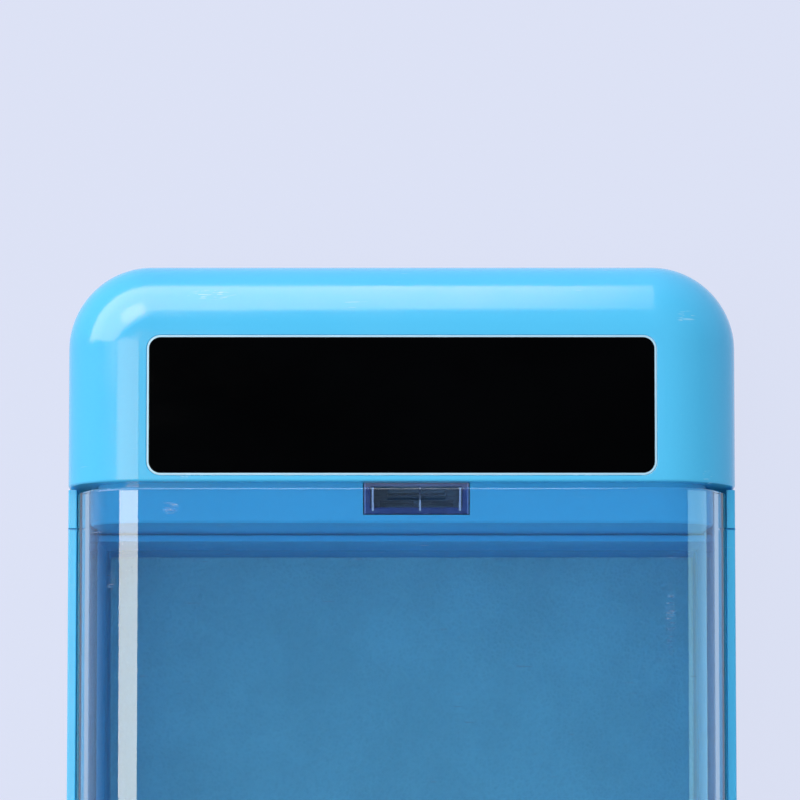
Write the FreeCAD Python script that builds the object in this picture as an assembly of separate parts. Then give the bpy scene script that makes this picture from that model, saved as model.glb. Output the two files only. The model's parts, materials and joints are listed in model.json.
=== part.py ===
"""Timed lock container: a flat case for one phone, with a clear hinged door that a timer keeps locked.

The case lies on its back on four rubber feet. +X is across it, +Y runs from the hinge end to the display
end, +Z points out of its face, and the origin is the middle of its footprint on the table. Millimetres.

A blue tub (base_shell) is split by a bulkhead into a phone compartment and an electronics bay. A blue
housing covers the bay, with the display window in its face and a lower neck that slips under the door.
The door is one clear dome between two blue rails, hinged on a steel pin at the far end. A tab inside it
drops through the neck into the lock, where a spring bolt holds it. It is drawn shut and unlocked: the
solenoid's magnet holds the bolt back, and to lock, the bolt moves 3 mm towards the hinge end, through
the tab's window.
"""

import FreeCAD, Part

import math
import os

V = FreeCAD.Vector

# ---------------------------------------------------------------- driving sizes: the case
CASE_WIDTH = 92.0
CASE_LENGTH = 213.0
CASE_CORNER_R = 11.5          # corners, seen from the front
FACE_ROUNDING = 10.0          # roll of the front face into the sides
BACK_ROUNDING = 4.0           # roll of the back into the sides
BASE_HEIGHT = 17.0            # back face to the split line
TOP_HEIGHT = 17.0             # split line to the front face
WALL = 2.2                    # housing
FLOOR = 2.2                   # back of the tub
INNER_FLOOR_R = 0.9           # roll of the tub's floor into its sides
LABEL_WIDTH = 54.0            # bare recess in the back
LABEL_LENGTH = 34.0
LABEL_DEPTH = 0.3
LABEL_CORNER_R = 3.0

# ---------------------------------------------------------------- driving sizes: lap joint round the split
TONGUE_THICKNESS = 0.75
TONGUE_HEIGHT = 1.4
LAP_CLEARANCE = 0.15

# ---------------------------------------------------------------- driving sizes: neck and bulkhead
STEP_EDGE_R = 0.3             # edge of the housing beside the door
NECK_WALL = 2.2
NECK_CLEARANCE = 0.2          # between the neck and the inside of the door
NECK_EDGE_R = 0.45
NECK_GROOVE = 1.0             # depth of the groove in the neck between the door's edge and the step
NECK_GROOVE_FOOT = 6.0        # lower ends of that groove above the split line
BULKHEAD_THICKNESS = 2.2
SEAM_WIDTH = 0.28             # of the slot in the bulkhead's top, in front of the neck
SEAM_DEPTH = 1.0

# ---------------------------------------------------------------- driving sizes: rails beside the door
RAIL_HEIGHT = 8.7             # above the split line
RAIL_DOOR_GAP = 0.15
RAIL_STEP_GAP = 0.4
RAIL_RAMP = 12.0              # length of the slope at the hinge end
RAIL_CORNER_GAP = 0.5         # foot of the slope to the case's corner
RAIL_EDGE_R = 0.15
RAIL_SUNK = 4.0               # of each rail below the split line, in a rebate in the tub's side

# ---------------------------------------------------------------- driving sizes: door and hinge
DOOR_GAP = 0.85               # groove between the door and the housing
DOOR_SET_IN = 1.4             # the door's sides stand this far inside the tub's
DOOR_WALL = 1.5
DOOR_SEAT_GAP = 0.15          # between the door and the tub's rim
DOOR_EDGE_R = 0.4
HINGE_STAND_OFF = 2.7         # pin axis beyond the end of the case
BARREL_R = 2.4
PIN_R = 1.0
PIN_FIT = 0.05                # radial clearance of the pin in the door's barrel
PIN_GRIP = 0.02               # and in the tub's barrels
DOOR_BARREL_LENGTH = 43.4
BASE_BARREL_LENGTH = 12.0
BARREL_SIDE_GAP = 0.3
BARREL_WEB = 5.5              # height of the webs that carry the barrels
PIN_RECESS = 1.0              # pin ends below the outer barrels' ends

# ---------------------------------------------------------------- driving sizes: tab, pocket and bolt
LOCK_X = 2.0                  # the lock sits a little right of the middle
POCKET_WIDTH = 14.3
POCKET_SHELF = 1.25           # top of the neck left in front of the pocket
POCKET_WALL = 0.9
POCKET_FLOOR = 1.2
POCKET_FIT = 0.15             # between the chassis and the hole in the neck
TAB_WIDTH = 11.7
TAB_THICKNESS = 1.7
TAB_RIB = 0.8
TAB_RIB_REACH = 0.4
TAB_BAR = 2.3                 # the tab below its window
TAB_FRONT_CLEARANCE = 0.95    # the tab swings forward as the door lifts
TAB_BACK_CLEARANCE = 0.4      # between the tab and the wall that the bolt comes through
TAB_FOOT_CLEARANCE = 1.0
BOLT_WIDTH = 7.2
BOLT_NOSE_HEIGHT = 2.8
BOLT_TRAVEL = 3.0
BOLT_CLEARANCE = 0.25         # in the chassis
TAB_WINDOW_CLEARANCE = 0.4    # round the bolt in the tab's window
BOLT_ARM = 2.5                # thickness of the bolt's upright
BOLT_ARM_WIDTH = 8.0
BOLT_HEADROOM = 3.1           # below the circuit board
BOLT_GUIDE = 1.25             # thickness of the cheeks beside the upright
CHASSIS_WIDTH = 21.0
CHASSIS_PLATE = 1.6
LINER_EDGE_R = 0.2            # upper edges of the pocket's lining

# ---------------------------------------------------------------- driving sizes: solenoid
SOLENOID_HEADROOM = 3.2       # below the circuit board
SOLENOID_END_GAP = 2.2        # to the tub's end wall
YOKE_WIDTH = 13.0
YOKE_HEIGHT = 12.0
YOKE_SHEET = 1.0
PLUNGER_R = 2.5
PLUNGER_NECK_R = 1.5
PLUNGER_FIT = 0.1
BOBBIN_FLANGE = 0.8
BOBBIN_TUBE = 0.5
COIL_CLEARANCE = 0.2          # between the winding and the yoke
MAGNET_LENGTH = 3.4
AIR_GAP = 0.1                 # plunger to magnet, and bolt to chassis at the end of its travel
SPRING_WIRE_R = 0.25
SPRING_CLEARANCE = 0.25       # round the plunger
SPRING_SPACE = 3.2            # between the bolt and the yoke with the bolt drawn back
SPRING_TURNS = 4
PLUNGER_PIN_R = 0.75
PLUNGER_PIN_FIT = 0.02

# ---------------------------------------------------------------- driving sizes: display
WINDOW_HEIGHT = 19.3
WINDOW_CORNER_R = 1.9
WINDOW_EDGE_R = 0.15          # rim of the recess that the lens lies in
WINDOW_FROM_STEP = 0.8        # lower edge of the window to the housing's step
WINDOW_FROM_ROLL = 0.55       # upper edge of the window to the roll of the face
WINDOW_SIDE = 1.1             # sides of the window to the roll of the face
LENS_THICKNESS = 1.3
LENS_RIM = 0.27               # width of the pale ring round the lens
LENS_FIT = 0.03               # ring to the recess
LENS_EDGE_R = 0.1
ADHESIVE = 0.2
ADHESIVE_SET_IN = 0.4
LED_SIDE = 8.6                # side of the display module to the side of the window
LED_HEIGHT = 14.4
LED_GAP = 0.1                 # between the module and the lens seat
SIGHT_GAP = 0.4               # round the module in the hole behind the lens
SIGHT_CORNER_R = 0.8
DIGIT_COUNT = 4
DIGIT_HEIGHT = 10.0
DIGIT_SPACE = 5.6             # between one digit and the next
DIGIT_MARGIN = 3.2            # at the ends of the module
DIGIT_STROKE = 1.2
DIGIT_GAP = 0.25              # half the gap between two bars
DIGIT_DEPTH = 0.6             # of the lit bars in the module's face
COLON_R = 0.7
COLON_SPREAD = 2.0
MODULE_PIN_R = 0.25
MODULE_PIN_PITCH = 2.54
MODULE_PIN_COUNT = 6
MODULE_PIN_TAIL = 0.6
MODULE_PIN_SET_IN = 1.2
MODULE_PIN_FIT = 0.05

# ---------------------------------------------------------------- driving sizes: circuit board
BOARD_THICKNESS = 1.6
BOARD_CORNER_R = 1.0
BOARD_STEP_GAP = 3.0          # board to the housing's step
BOARD_END_GAP = 5.1           # board to the outside of the display end
BOARD_SIDE_GAP = 2.3          # board to the case screws' bosses
BOARD_SCREW_EDGE = 2.7        # screws to the board's edges
SCREW_TO_SWITCH = 1.7
BOARD_POST_R = 2.2
CHIP_LIFT = 0.1
CHIP_LEG = 0.9
CHIP_LEG_WIDTH = 0.4
CHIP_LEG_HEIGHT = 0.25
TIMER_CHIP = (10.0, 3.9, 1.5)           # length, width, height
TIMER_CHIP_LEGS = 8                     # a side
DRIVER_CHIP = (6.0, 3.0, 1.3)
DRIVER_CHIP_LEGS = 5
CHIP_EDGE_GAP = 0.6           # chips' legs to the board's edge
CHIP_SCREW_GAP = 0.6          # timer chip to the head of the screw beside it
SMALL_PART = (1.0, 1.8, 0.6)
SMALL_PART_PITCH = 2.5
SMALL_PART_GAP = 1.2
SMALL_PART_COUNTS = (4, 3)    # beside the timer chip, and beside the buzzer
BATTERY_WIDTH = 20.0
BATTERY_LENGTH = 26.0
BATTERY_THICKNESS = 5.5
BATTERY_EDGE_R = 1.2
BATTERY_POST_GAP = 0.3        # battery to the case screws' posts
BATTERY_BULKHEAD_GAP = 3.3
TAPE = 0.5
TAPE_SET_IN = 1.0
BUZZER_R = 4.5
BUZZER_HEIGHT = 5.5
BUZZER_MOUTH_R = 0.9
BUZZER_FROM_SCREW = 5.3       # along X, from the board screws
SOUND_HOLE_R = 0.8
SOUND_RING_R = 3.2
PLUG_SIZE = (6.0, 8.0, 5.0)   # wire connectors below the board
PLUG_WALL = 1.0
PLUG_DEPTH = 1.5
PLUG_BUZZER_GAP = 1.0
LEAD_R = 0.6
LEAD_SPACING = 2.4

# ---------------------------------------------------------------- driving sizes: buttons and port
BUTTON_NAMES = ("hour", "minute", "lock")
BUTTON_PITCH = 9.0
BUTTON_FROM_SCREW = 3.3       # first button, along X, from the board screws
BUTTON_R = 2.5
BUTTON_EDGE_R = 0.4
BUTTON_PROUD = 0.1
BUTTON_TRAVEL = 0.5
BUTTON_FIT = 0.15
BUTTON_FLANGE_R = 3.0
BUTTON_FLANGE = 0.8
BUTTON_FLANGE_GAP = 0.15      # flange to the inside of the end wall
BUTTON_ROOM = 0.4             # flange to the tub's tongue
BUTTON_POST_R = 1.2
SWITCH_SIZE = (6.2, 3.6, 4.0)
SWITCH_SET_BACK = 0.6         # from the board's edge
STEM_SIZE = (2.6, 1.4)
STEM_FIT = 0.15
STEM_PROUD = 0.9
STEM_DEPTH = 1.2              # of the stem in its switch
STEM_ROOM = 0.3               # left behind the pressed stem
PORT_FROM_BUZZER = 3.5        # along X
PORT_WIDTH = 8.94
PORT_LENGTH = 7.3
PORT_HEIGHT = 3.26
PORT_SHEET = 0.3
PORT_FIT = 0.2
PORT_SET_BACK = 0.8           # mouth of the port behind the end of the case
PORT_BACK = 0.6
PORT_BLOCK = 1.2
PORT_TONGUE = (6.6, 0.7)
PORT_TONGUE_SET_BACK = 1.0

# ---------------------------------------------------------------- driving sizes: screws, feet, pad
CASE_SCREW_R = 1.2
CASE_SCREW_GRIP = 8.0         # of the tub between head and split line
CASE_SCREW_BITE = 3.0         # into the housing's boss
CASE_SCREW_HEAD_R = 2.3
CASE_SCREW_HEAD = 1.6
CASE_POST_R = 3.6
CASE_BOSS_R = 3.0
CASE_POST_GAP = 1.2           # posts to the tub's sides
CASE_SCREW_FROM_STEP = 4.2
CASE_SCREW_FROM_END = 10.05
SMALL_SCREW_R = 0.9
SMALL_SCREW_HEAD_R = 1.7
SMALL_SCREW_HEAD = 1.2
SMALL_SCREW_BITE = 3.4
SCREW_TIP_GAP = 0.5
SCREW_FIT = 0.05
HEAD_FIT = 0.3
FOOT_R = 4.0
FOOT_EDGE_R = 0.4
FOOT_PROUD = 1.0
FOOT_SUNK = 0.8
FOOT_FIT = 0.1
FOOT_SET_IN = 2.0             # feet to the roll of the back
PAD_THICKNESS = 1.5
PAD_CLEARANCE = 0.1           # pad to the roll of the floor

ROOT = 0.5                    # how far a wall, rib or post is sunk into what it grows from
OVER = 1.0                    # how far a cutter runs past what it cuts
ROLL_MARGIN = 0.2             # least that a rim's roll stays below the radius of its corners
TINY = 1e-6                   # lengths below this count as none

# ---------------------------------------------------------------- outline of the case
RIM_WALL = DOOR_SET_IN + DOOR_WALL                 # the tub and the door are flush inside
BAY_LENGTH = WINDOW_FROM_STEP + WINDOW_HEIGHT + WINDOW_FROM_ROLL + FACE_ROUNDING
FULL_LENGTH = BARREL_R + HINGE_STAND_OFF + CASE_LENGTH + BUTTON_PROUD
CASE_Y1 = FULL_LENGTH / 2 - BUTTON_PROUD           # display end
CASE_Y0 = CASE_Y1 - CASE_LENGTH                    # hinge end
HALF_WIDTH = CASE_WIDTH / 2
Z_BACK = FOOT_PROUD
Z_FLOOR = Z_BACK + FLOOR
Z_SPLIT = Z_BACK + BASE_HEIGHT
Z_FACE = Z_SPLIT + TOP_HEIGHT
HINGE_Y = CASE_Y0 - HINGE_STAND_OFF
HINGE_Z = Z_SPLIT
LAP_INSET = RIM_WALL - TONGUE_THICKNESS - LAP_CLEARANCE
LAP_TOP = Z_SPLIT + TONGUE_HEIGHT + LAP_CLEARANCE

# ---------------------------------------------------------------- places along the case
STEP_Y = CASE_Y1 - BAY_LENGTH                      # housing's step, which faces the door's edge
DOOR_Y1 = STEP_Y - DOOR_GAP
TAB_Y0 = DOOR_Y1 - TAB_THICKNESS
POCKET_FRONT = TAB_Y0 - TAB_FRONT_CLEARANCE - POCKET_WALL
POCKET_BACK = STEP_Y + POCKET_WALL - POCKET_FIT
WELL_BACK = DOOR_Y1 + TAB_BACK_CLEARANCE
NECK_Y0 = POCKET_FRONT - POCKET_SHELF
NECK_INSET = RIM_WALL + NECK_CLEARANCE
BULKHEAD_Y1 = POCKET_FRONT - POCKET_FIT
BULKHEAD_Y0 = BULKHEAD_Y1 - BULKHEAD_THICKNESS
NOSE_TIP = (WELL_BACK + POCKET_BACK) / 2 - POCKET_FIT   # drawn back, inside the pocket's far wall
ARM_Y0 = POCKET_BACK + BOLT_TRAVEL + AIR_GAP
ARM_Y1 = ARM_Y0 + BOLT_ARM
YOKE_Y0 = ARM_Y1 + SPRING_SPACE
YOKE_Y1 = CASE_Y1 - RIM_WALL - SOLENOID_END_GAP
BOBBIN_Y0 = YOKE_Y0 + YOKE_SHEET
BOBBIN_Y1 = YOKE_Y1 - YOKE_SHEET
COIL_Y = (BOBBIN_Y0 + BOBBIN_Y1) / 2
WINDOW_Y = STEP_Y + WINDOW_FROM_STEP + WINDOW_HEIGHT / 2
BOARD_Y0 = STEP_Y + BOARD_STEP_GAP
BOARD_Y1 = CASE_Y1 - BOARD_END_GAP
SWITCH_Y1 = BOARD_Y1 - SWITCH_SET_BACK
SWITCH_Y0 = SWITCH_Y1 - SWITCH_SIZE[1]
STEM_Y1 = SWITCH_Y1 + STEM_PROUD
END_WALL_Y = CASE_Y1 - WALL                        # inside of the display end
PORT_Y1 = CASE_Y1 - PORT_SET_BACK
PORT_Y0 = PORT_Y1 - PORT_LENGTH
BATTERY_Y0 = BULKHEAD_Y1 + BATTERY_BULKHEAD_GAP
BATTERY_Y = BATTERY_Y0 + BATTERY_LENGTH / 2
BUZZER_Y = (BOARD_Y0 + BOARD_Y1) / 2
RAIL_Y0 = CASE_Y0 + CASE_CORNER_R + RAIL_CORNER_GAP
RAIL_Y1 = STEP_Y - RAIL_STEP_GAP

# ---------------------------------------------------------------- levels
RAIL_TOP = Z_SPLIT + RAIL_HEIGHT
RAIL_FOOT = Z_SPLIT - RAIL_SUNK
NECK_TOP = Z_FACE - DOOR_WALL - NECK_CLEARANCE
LENS_SEAT_Z = Z_FACE - LENS_THICKNESS - ADHESIVE
LED_TOP = LENS_SEAT_Z - LED_GAP
BUTTON_Z = Z_SPLIT + TONGUE_HEIGHT + BUTTON_ROOM + BUTTON_FLANGE_R
BOARD_Z = BUTTON_Z + SWITCH_SIZE[2] / 2            # underside, which carries the parts
BOARD_TOP = BOARD_Z + BOARD_THICKNESS
PORT_Z = BOARD_Z - PORT_HEIGHT / 2
PLUG_Z = BOARD_Z - PLUG_SIZE[2]
NOSE_Z1 = BOARD_Z - BOLT_HEADROOM
NOSE_Z0 = NOSE_Z1 - BOLT_NOSE_HEIGHT
TAB_WINDOW_Z0 = NOSE_Z0 - TAB_WINDOW_CLEARANCE
TAB_WINDOW_Z1 = NOSE_Z1 + TAB_WINDOW_CLEARANCE
TAB_Z0 = TAB_WINDOW_Z0 - TAB_BAR
WELL_Z = TAB_Z0 - TAB_FOOT_CLEARANCE
YOKE_Z = BOARD_Z - SOLENOID_HEADROOM - YOKE_HEIGHT
CHASSIS_Z = YOKE_Z - CHASSIS_PLATE
AXIS_Z = YOKE_Z + YOKE_HEIGHT / 2
CASE_SCREW_Z = Z_SPLIT - CASE_SCREW_GRIP
BATTERY_Z = Z_FLOOR + TAPE

# ---------------------------------------------------------------- places across the case
RAIL_X = HALF_WIDTH - DOOR_SET_IN + RAIL_DOOR_GAP  # inner faces of the rails
WINDOW_WIDTH = CASE_WIDTH - 2 * (FACE_ROUNDING + WINDOW_SIDE)
LENS_WIDTH = WINDOW_WIDTH - 2 * (LENS_RIM + LENS_FIT)
LENS_HEIGHT = WINDOW_HEIGHT - 2 * (LENS_RIM + LENS_FIT)
LENS_CORNER_R = WINDOW_CORNER_R - LENS_RIM - LENS_FIT
LED_WIDTH = WINDOW_WIDTH - 2 * LED_SIDE
DIGIT_PITCH = (LED_WIDTH - 2 * DIGIT_MARGIN) / DIGIT_COUNT
DIGIT_WIDTH = DIGIT_PITCH - DIGIT_SPACE
CASE_SCREW_X = HALF_WIDTH - RIM_WALL - CASE_POST_GAP - CASE_POST_R
BOARD_HALF = CASE_SCREW_X - CASE_BOSS_R - BOARD_SIDE_GAP
BOARD_SCREW_X = BOARD_HALF - BOARD_SCREW_EDGE
BUTTON_XS = [-BOARD_SCREW_X + BUTTON_FROM_SCREW + BUTTON_PITCH * k for k in range(len(BUTTON_NAMES))]
BUZZER_X = BOARD_SCREW_X - BUZZER_FROM_SCREW
PORT_X = BUZZER_X - PORT_FROM_BUZZER
BATTERY_X0 = -CASE_SCREW_X + CASE_POST_R + BATTERY_POST_GAP
BATTERY_X1 = BATTERY_X0 + BATTERY_WIDTH
CHASSIS_SCREW_X = CHASSIS_WIDTH / 2 - SMALL_SCREW_HEAD_R - HEAD_FIT
TIMER_CHIP_X = -BOARD_SCREW_X + SMALL_SCREW_HEAD_R + CHIP_SCREW_GAP + TIMER_CHIP[0] / 2
BATTERY_PLUG_X = (BATTERY_X1 + LOCK_X - CHASSIS_WIDTH / 2) / 2
SOLENOID_PLUG_X = BUZZER_X - BUZZER_R - PLUG_BUZZER_GAP - PLUG_SIZE[0] / 2
FOOT_X = HALF_WIDTH - BACK_ROUNDING - FOOT_SET_IN - FOOT_R
COIL_R = YOKE_HEIGHT / 2 - YOKE_SHEET - COIL_CLEARANCE


def both_sides(x, ys):
    return [(s * x, y) for s in (-1, 1) for y in ys]


def spread(count, pitch):
    """Evenly spaced places about zero."""
    return [(k - (count - 1) / 2) * pitch for k in range(count)]


CASE_SCREW_YS = (STEP_Y + CASE_SCREW_FROM_STEP, CASE_Y1 - CASE_SCREW_FROM_END)
CASE_SCREWS = both_sides(CASE_SCREW_X, CASE_SCREW_YS)
FOOT_FROM_END = CASE_Y1 - sum(CASE_SCREW_YS) / 2    # midway between the screws at the display end
FEET = both_sides(FOOT_X, (CASE_Y0 + FOOT_FROM_END, CASE_Y1 - FOOT_FROM_END))
BOARD_SCREW_YS = (BOARD_Y0 + BOARD_SCREW_EDGE, SWITCH_Y0 - SCREW_TO_SWITCH - SMALL_SCREW_HEAD_R)
BOARD_SCREWS = both_sides(BOARD_SCREW_X, BOARD_SCREW_YS)
CHASSIS_SCREWS = [
    (LOCK_X + dx, y) for dx, y in both_sides(CHASSIS_SCREW_X, (BOBBIN_Y0 + ROOT, BOBBIN_Y1 - ROOT))
]
YOKE_SCREWS = [(LOCK_X, BOBBIN_Y0 + share * (BOBBIN_Y1 - BOBBIN_Y0)) for share in (0.25, 0.75)]


# ---------------------------------------------------------------- shapes
def box(x0, x1, y0, y1, z0, z1):
    return Part.makeBox(x1 - x0, y1 - y0, z1 - z0, V(x0, y0, z0))


def rod(radius, start, end):
    """A cylinder from one point to another."""
    along = V(*end) - V(*start)
    return Part.makeCylinder(radius, along.Length, V(*start), along)


def rod_z(radius, x, y, z0, z1):
    return rod(radius, (x, y, z0), (x, y, z1))


def rod_y(radius, x, z, y0, y1):
    return rod(radius, (x, y0, z), (x, y1, z))


def is_upright(edge):
    a, b = edge.Vertexes[0].Point, edge.Vertexes[-1].Point
    return len(edge.Vertexes) == 2 and abs(a.z - b.z) > TINY and math.hypot(a.x - b.x, a.y - b.y) < TINY


def edges_at_height(shape, z):
    return [e for e in shape.Edges if all(abs(v.Point.z - z) < TINY for v in e.Vertexes)]


def edges_at_y(shape, y):
    return [e for e in shape.Edges if all(abs(v.Point.y - y) < TINY for v in e.Vertexes)]


def along_y(edges):
    return [e for e in edges if abs(e.Vertexes[0].Point.y - e.Vertexes[-1].Point.y) > TINY]


def plate(x0, x1, y0, y1, z0, z1, corner):
    """A block with its upright corners rounded."""
    block = box(x0, x1, y0, y1, z0, z1)
    return block.makeFillet(corner, [e for e in block.Edges if is_upright(e)])


def window_plate(width, height, z0, z1, corner):
    """A plate centred on the display window."""
    return plate(
        -width / 2, width / 2, WINDOW_Y - height / 2, WINDOW_Y + height / 2, z0, z1, corner
    )


def lock_box(half, y0, y1, z0, z1):
    """A block centred on the lock across the case."""
    return box(LOCK_X - half, LOCK_X + half, y0, y1, z0, z1)


def prism_x(points, x0, x1):
    """A prism along X over a closed outline of (y, z) points."""
    outline = Part.makePolygon([V(x0, y, z) for y, z in points + points[:1]])
    return Part.Face(outline).extrude(V(x1 - x0, 0, 0))


def case_blank(inset, z0, z1, top_r=0.0, bottom_r=0.0):
    """The case's outline, set in by inset, between two heights, with its upper or lower rim rolled."""
    corner = CASE_CORNER_R - inset
    largest_roll = corner - ROLL_MARGIN
    blank = plate(
        -HALF_WIDTH + inset, HALF_WIDTH - inset, CASE_Y0 + inset, CASE_Y1 - inset, z0, z1, corner
    )
    if top_r:
        blank = blank.makeFillet(min(top_r, largest_roll), edges_at_height(blank, z1))
    if bottom_r:
        blank = blank.makeFillet(min(bottom_r, largest_roll), edges_at_height(blank, z0))
    return blank


def domed_blank(inset, z0, below_face):
    """The case's outline up to a face that lies below the front face, rolled about the same centre."""
    return case_blank(inset, z0, Z_FACE - below_face, top_r=FACE_ROUNDING - inset)


def between_y(shape, y0, y1):
    """The part of a shape between two places along the case."""
    return shape.common(box(-CASE_WIDTH, CASE_WIDTH, y0, y1, -CASE_WIDTH, CASE_WIDTH))


def rim_edges(shape, y):
    """The edges of a cut end at y, without its foot."""
    foot = shape.BoundBox.ZMin
    return [e for e in edges_at_y(shape, y) if max(v.Point.z for v in e.Vertexes) > foot + TINY]


def lap_ring(outer_inset, inner_inset, z0, z1):
    """A ring round the case between two insets, for the tongue and the rebates that take it."""
    return case_blank(outer_inset, z0, z1).cut(case_blank(inner_inset, z0 - OVER, z1 + OVER))


def rebate():
    """What the door and the housing leave free for the tub's tongue."""
    return lap_ring(LAP_INSET, RIM_WALL + LAP_CLEARANCE, Z_SPLIT - OVER, LAP_TOP)


def barrel(x0, x1, side, wall_y):
    """A hinge barrel with the web that joins it to an end wall, above (+1) or below (-1) the pin."""
    seat = HINGE_Z + side * DOOR_SEAT_GAP
    web = prism_x(
        [
            (HINGE_Y, seat), (wall_y, seat),
            (wall_y, HINGE_Z + side * BARREL_WEB), (HINGE_Y, HINGE_Z + side * BARREL_R),
        ],
        x0,
        x1,
    )
    return rod(BARREL_R, (x0, HINGE_Y, HINGE_Z), (x1, HINGE_Y, HINGE_Z)).fuse(web)


def pin_bore(radius):
    return rod(radius, (-HALF_WIDTH, HINGE_Y, HINGE_Z), (HALF_WIDTH, HINGE_Y, HINGE_Z))


def screw(x, y, seat_z, radius, length, head_r, head, way=1):
    """A round-headed cross-slot screw whose head bears at seat_z. Its shank points up (1) or down (-1)."""
    crown_z = seat_z - way * head
    shank = rod_z(radius, x, y, seat_z, seat_z + way * length)
    cap = rod_z(head_r, x, y, crown_z, seat_z)
    cap = cap.makeFillet(head * 0.45, edges_at_height(cap, crown_z))
    z0, z1 = sorted((crown_z - way * OVER, crown_z + way * head * 0.6))
    arm, half = head_r * 0.55, head_r * 0.14
    slots = box(x - arm, x + arm, y - half, y + half, z0, z1)
    slots = slots.fuse(box(x - half, x + half, y - arm, y + arm, z0, z1))
    return shank.fuse(cap).cut(slots)


def small_screw(x, y, seat_z, length, way=1):
    return screw(x, y, seat_z, SMALL_SCREW_R, length, SMALL_SCREW_HEAD_R, SMALL_SCREW_HEAD, way)


def small_hole(x, y, z0, z1):
    return rod_z(SMALL_SCREW_R + SCREW_FIT, x, y, z0, z1)


def swept_tube(radius, path, start, along):
    """A round tube along a wire that starts at start and heads along."""
    return path.makePipeShell([Part.Wire([Part.makeCircle(radius, start, along)])], True, False)


def lead(points, bend):
    """A wire along two straight runs with an arc of radius bend at the corner between them."""
    start, corner, end = [V(*p) for p in points]
    back = (start - corner).normalize()
    on = (end - corner).normalize()
    half_turn = back.getAngle(on) / 2
    first = corner + back * (bend / math.tan(half_turn))
    last = corner + on * (bend / math.tan(half_turn))
    centre = corner + (back + on).normalize() * (bend / math.sin(half_turn))
    middle = centre + (corner - centre).normalize() * bend
    path = Part.Wire(
        [
            Part.LineSegment(start, first).toShape(),
            Part.Arc(first, middle, last).toShape(),
            Part.LineSegment(last, end).toShape(),
        ]
    )
    return swept_tube(LEAD_R, path, start, corner - start)


# ---------------------------------------------------------------- case
def base_shell():
    """The blue tub: compartment, bulkhead, bay floor with posts, tongue round its rim, two hinge barrels."""
    tub = case_blank(0, Z_BACK, Z_SPLIT, bottom_r=BACK_ROUNDING)
    hollow = case_blank(RIM_WALL, Z_FLOOR, Z_SPLIT + OVER, bottom_r=INNER_FLOOR_R)
    tongue = lap_ring(RIM_WALL - TONGUE_THICKNESS, RIM_WALL, Z_SPLIT - ROOT, Z_SPLIT + TONGUE_HEIGHT)
    side = HALF_WIDTH - RIM_WALL + ROOT
    bulkhead = box(-side, side, BULKHEAD_Y0, BULKHEAD_Y1, Z_FLOOR - ROOT, Z_SPLIT)
    seam = box(-side + ROOT, side - ROOT, NECK_Y0 - SEAM_WIDTH, NECK_Y0, Z_SPLIT - SEAM_DEPTH, Z_SPLIT + OVER)
    tub = tub.cut(hollow).fuse([tongue, bulkhead]).cut([seam] + rail_blanks(OVER))
    inner = DOOR_BARREL_LENGTH / 2 + BARREL_SIDE_GAP
    outer = inner + BASE_BARREL_LENGTH
    wall_y = CASE_Y0 + RIM_WALL / 2
    tub = tub.fuse([barrel(inner, outer, -1, wall_y), barrel(-outer, -inner, -1, wall_y)])
    return cut_tub_openings(add_tub_posts(tub.cut(pin_bore(PIN_R + PIN_GRIP))))


def add_tub_posts(tub):
    """The posts for the case screws and the lock's chassis, with their holes."""
    for x, y in CASE_SCREWS:
        tub = tub.fuse(rod_z(CASE_POST_R, x, y, Z_FLOOR - ROOT, Z_SPLIT))
        tub = tub.cut(rod_z(CASE_SCREW_HEAD_R + HEAD_FIT, x, y, Z_BACK - OVER, CASE_SCREW_Z))
        tub = tub.cut(rod_z(CASE_SCREW_R + SCREW_FIT, x, y, CASE_SCREW_Z - OVER, Z_SPLIT + OVER))
    for x, y in CHASSIS_SCREWS:
        tub = tub.fuse(rod_z(SMALL_SCREW_HEAD_R + HEAD_FIT, x, y, Z_FLOOR - ROOT, CHASSIS_Z))
        tub = tub.cut(small_hole(x, y, Z_FLOOR, CHASSIS_Z + OVER))
    return tub


def cut_tub_openings(tub):
    """The foot pockets, the buzzer's sound holes and the bare label recess, all in the back."""
    for x, y in FEET:
        tub = tub.cut(rod_z(FOOT_R + FOOT_FIT, x, y, Z_BACK - OVER, Z_BACK + FOOT_SUNK))
    for dx, dy in sound_holes():
        tub = tub.cut(rod_z(SOUND_HOLE_R, BUZZER_X + dx, BUZZER_Y + dy, Z_BACK - OVER, Z_FLOOR + OVER))
    label = plate(
        -LABEL_WIDTH / 2, LABEL_WIDTH / 2, -LABEL_LENGTH / 2, LABEL_LENGTH / 2,
        Z_BACK - OVER, Z_BACK + LABEL_DEPTH, LABEL_CORNER_R,
    )
    return tub.cut(label)


def sound_holes():
    """One hole under the buzzer with six round it."""
    turns = [k * math.pi / 3 for k in range(6)]
    return [(0.0, 0.0)] + [(SOUND_RING_R * math.cos(a), SOUND_RING_R * math.sin(a)) for a in turns]


def rail_blanks(over=0.0):
    """The two rails before their roll, or the rebates for them in the tub, cut over beyond its sides."""
    outline = [
        (RAIL_Y0, RAIL_FOOT), (RAIL_Y0, Z_SPLIT), (RAIL_Y0 + RAIL_RAMP, RAIL_TOP),
        (RAIL_Y1, RAIL_TOP), (RAIL_Y1, RAIL_FOOT),
    ]
    ends = HALF_WIDTH + over
    return [prism_x(outline, -ends, -RAIL_X), prism_x(outline, RAIL_X, ends)]


def side_rails():
    """Two rails, set in the tub's sides, that carry the housing's roll and seam on beside the door."""
    rolled = domed_blank(0, RAIL_FOOT, 0)
    rails = [blank.common(rolled).removeSplitter() for blank in rail_blanks()]
    rails = [rail.makeFillet(RAIL_EDGE_R, along_y(edges_at_height(rail, RAIL_TOP))) for rail in rails]
    nick = box(-CASE_WIDTH, CASE_WIDTH, NECK_Y0 - SEAM_WIDTH, NECK_Y0, RAIL_TOP - SEAM_DEPTH, Z_FACE)
    return [rail.cut(nick) for rail in rails]


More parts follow.
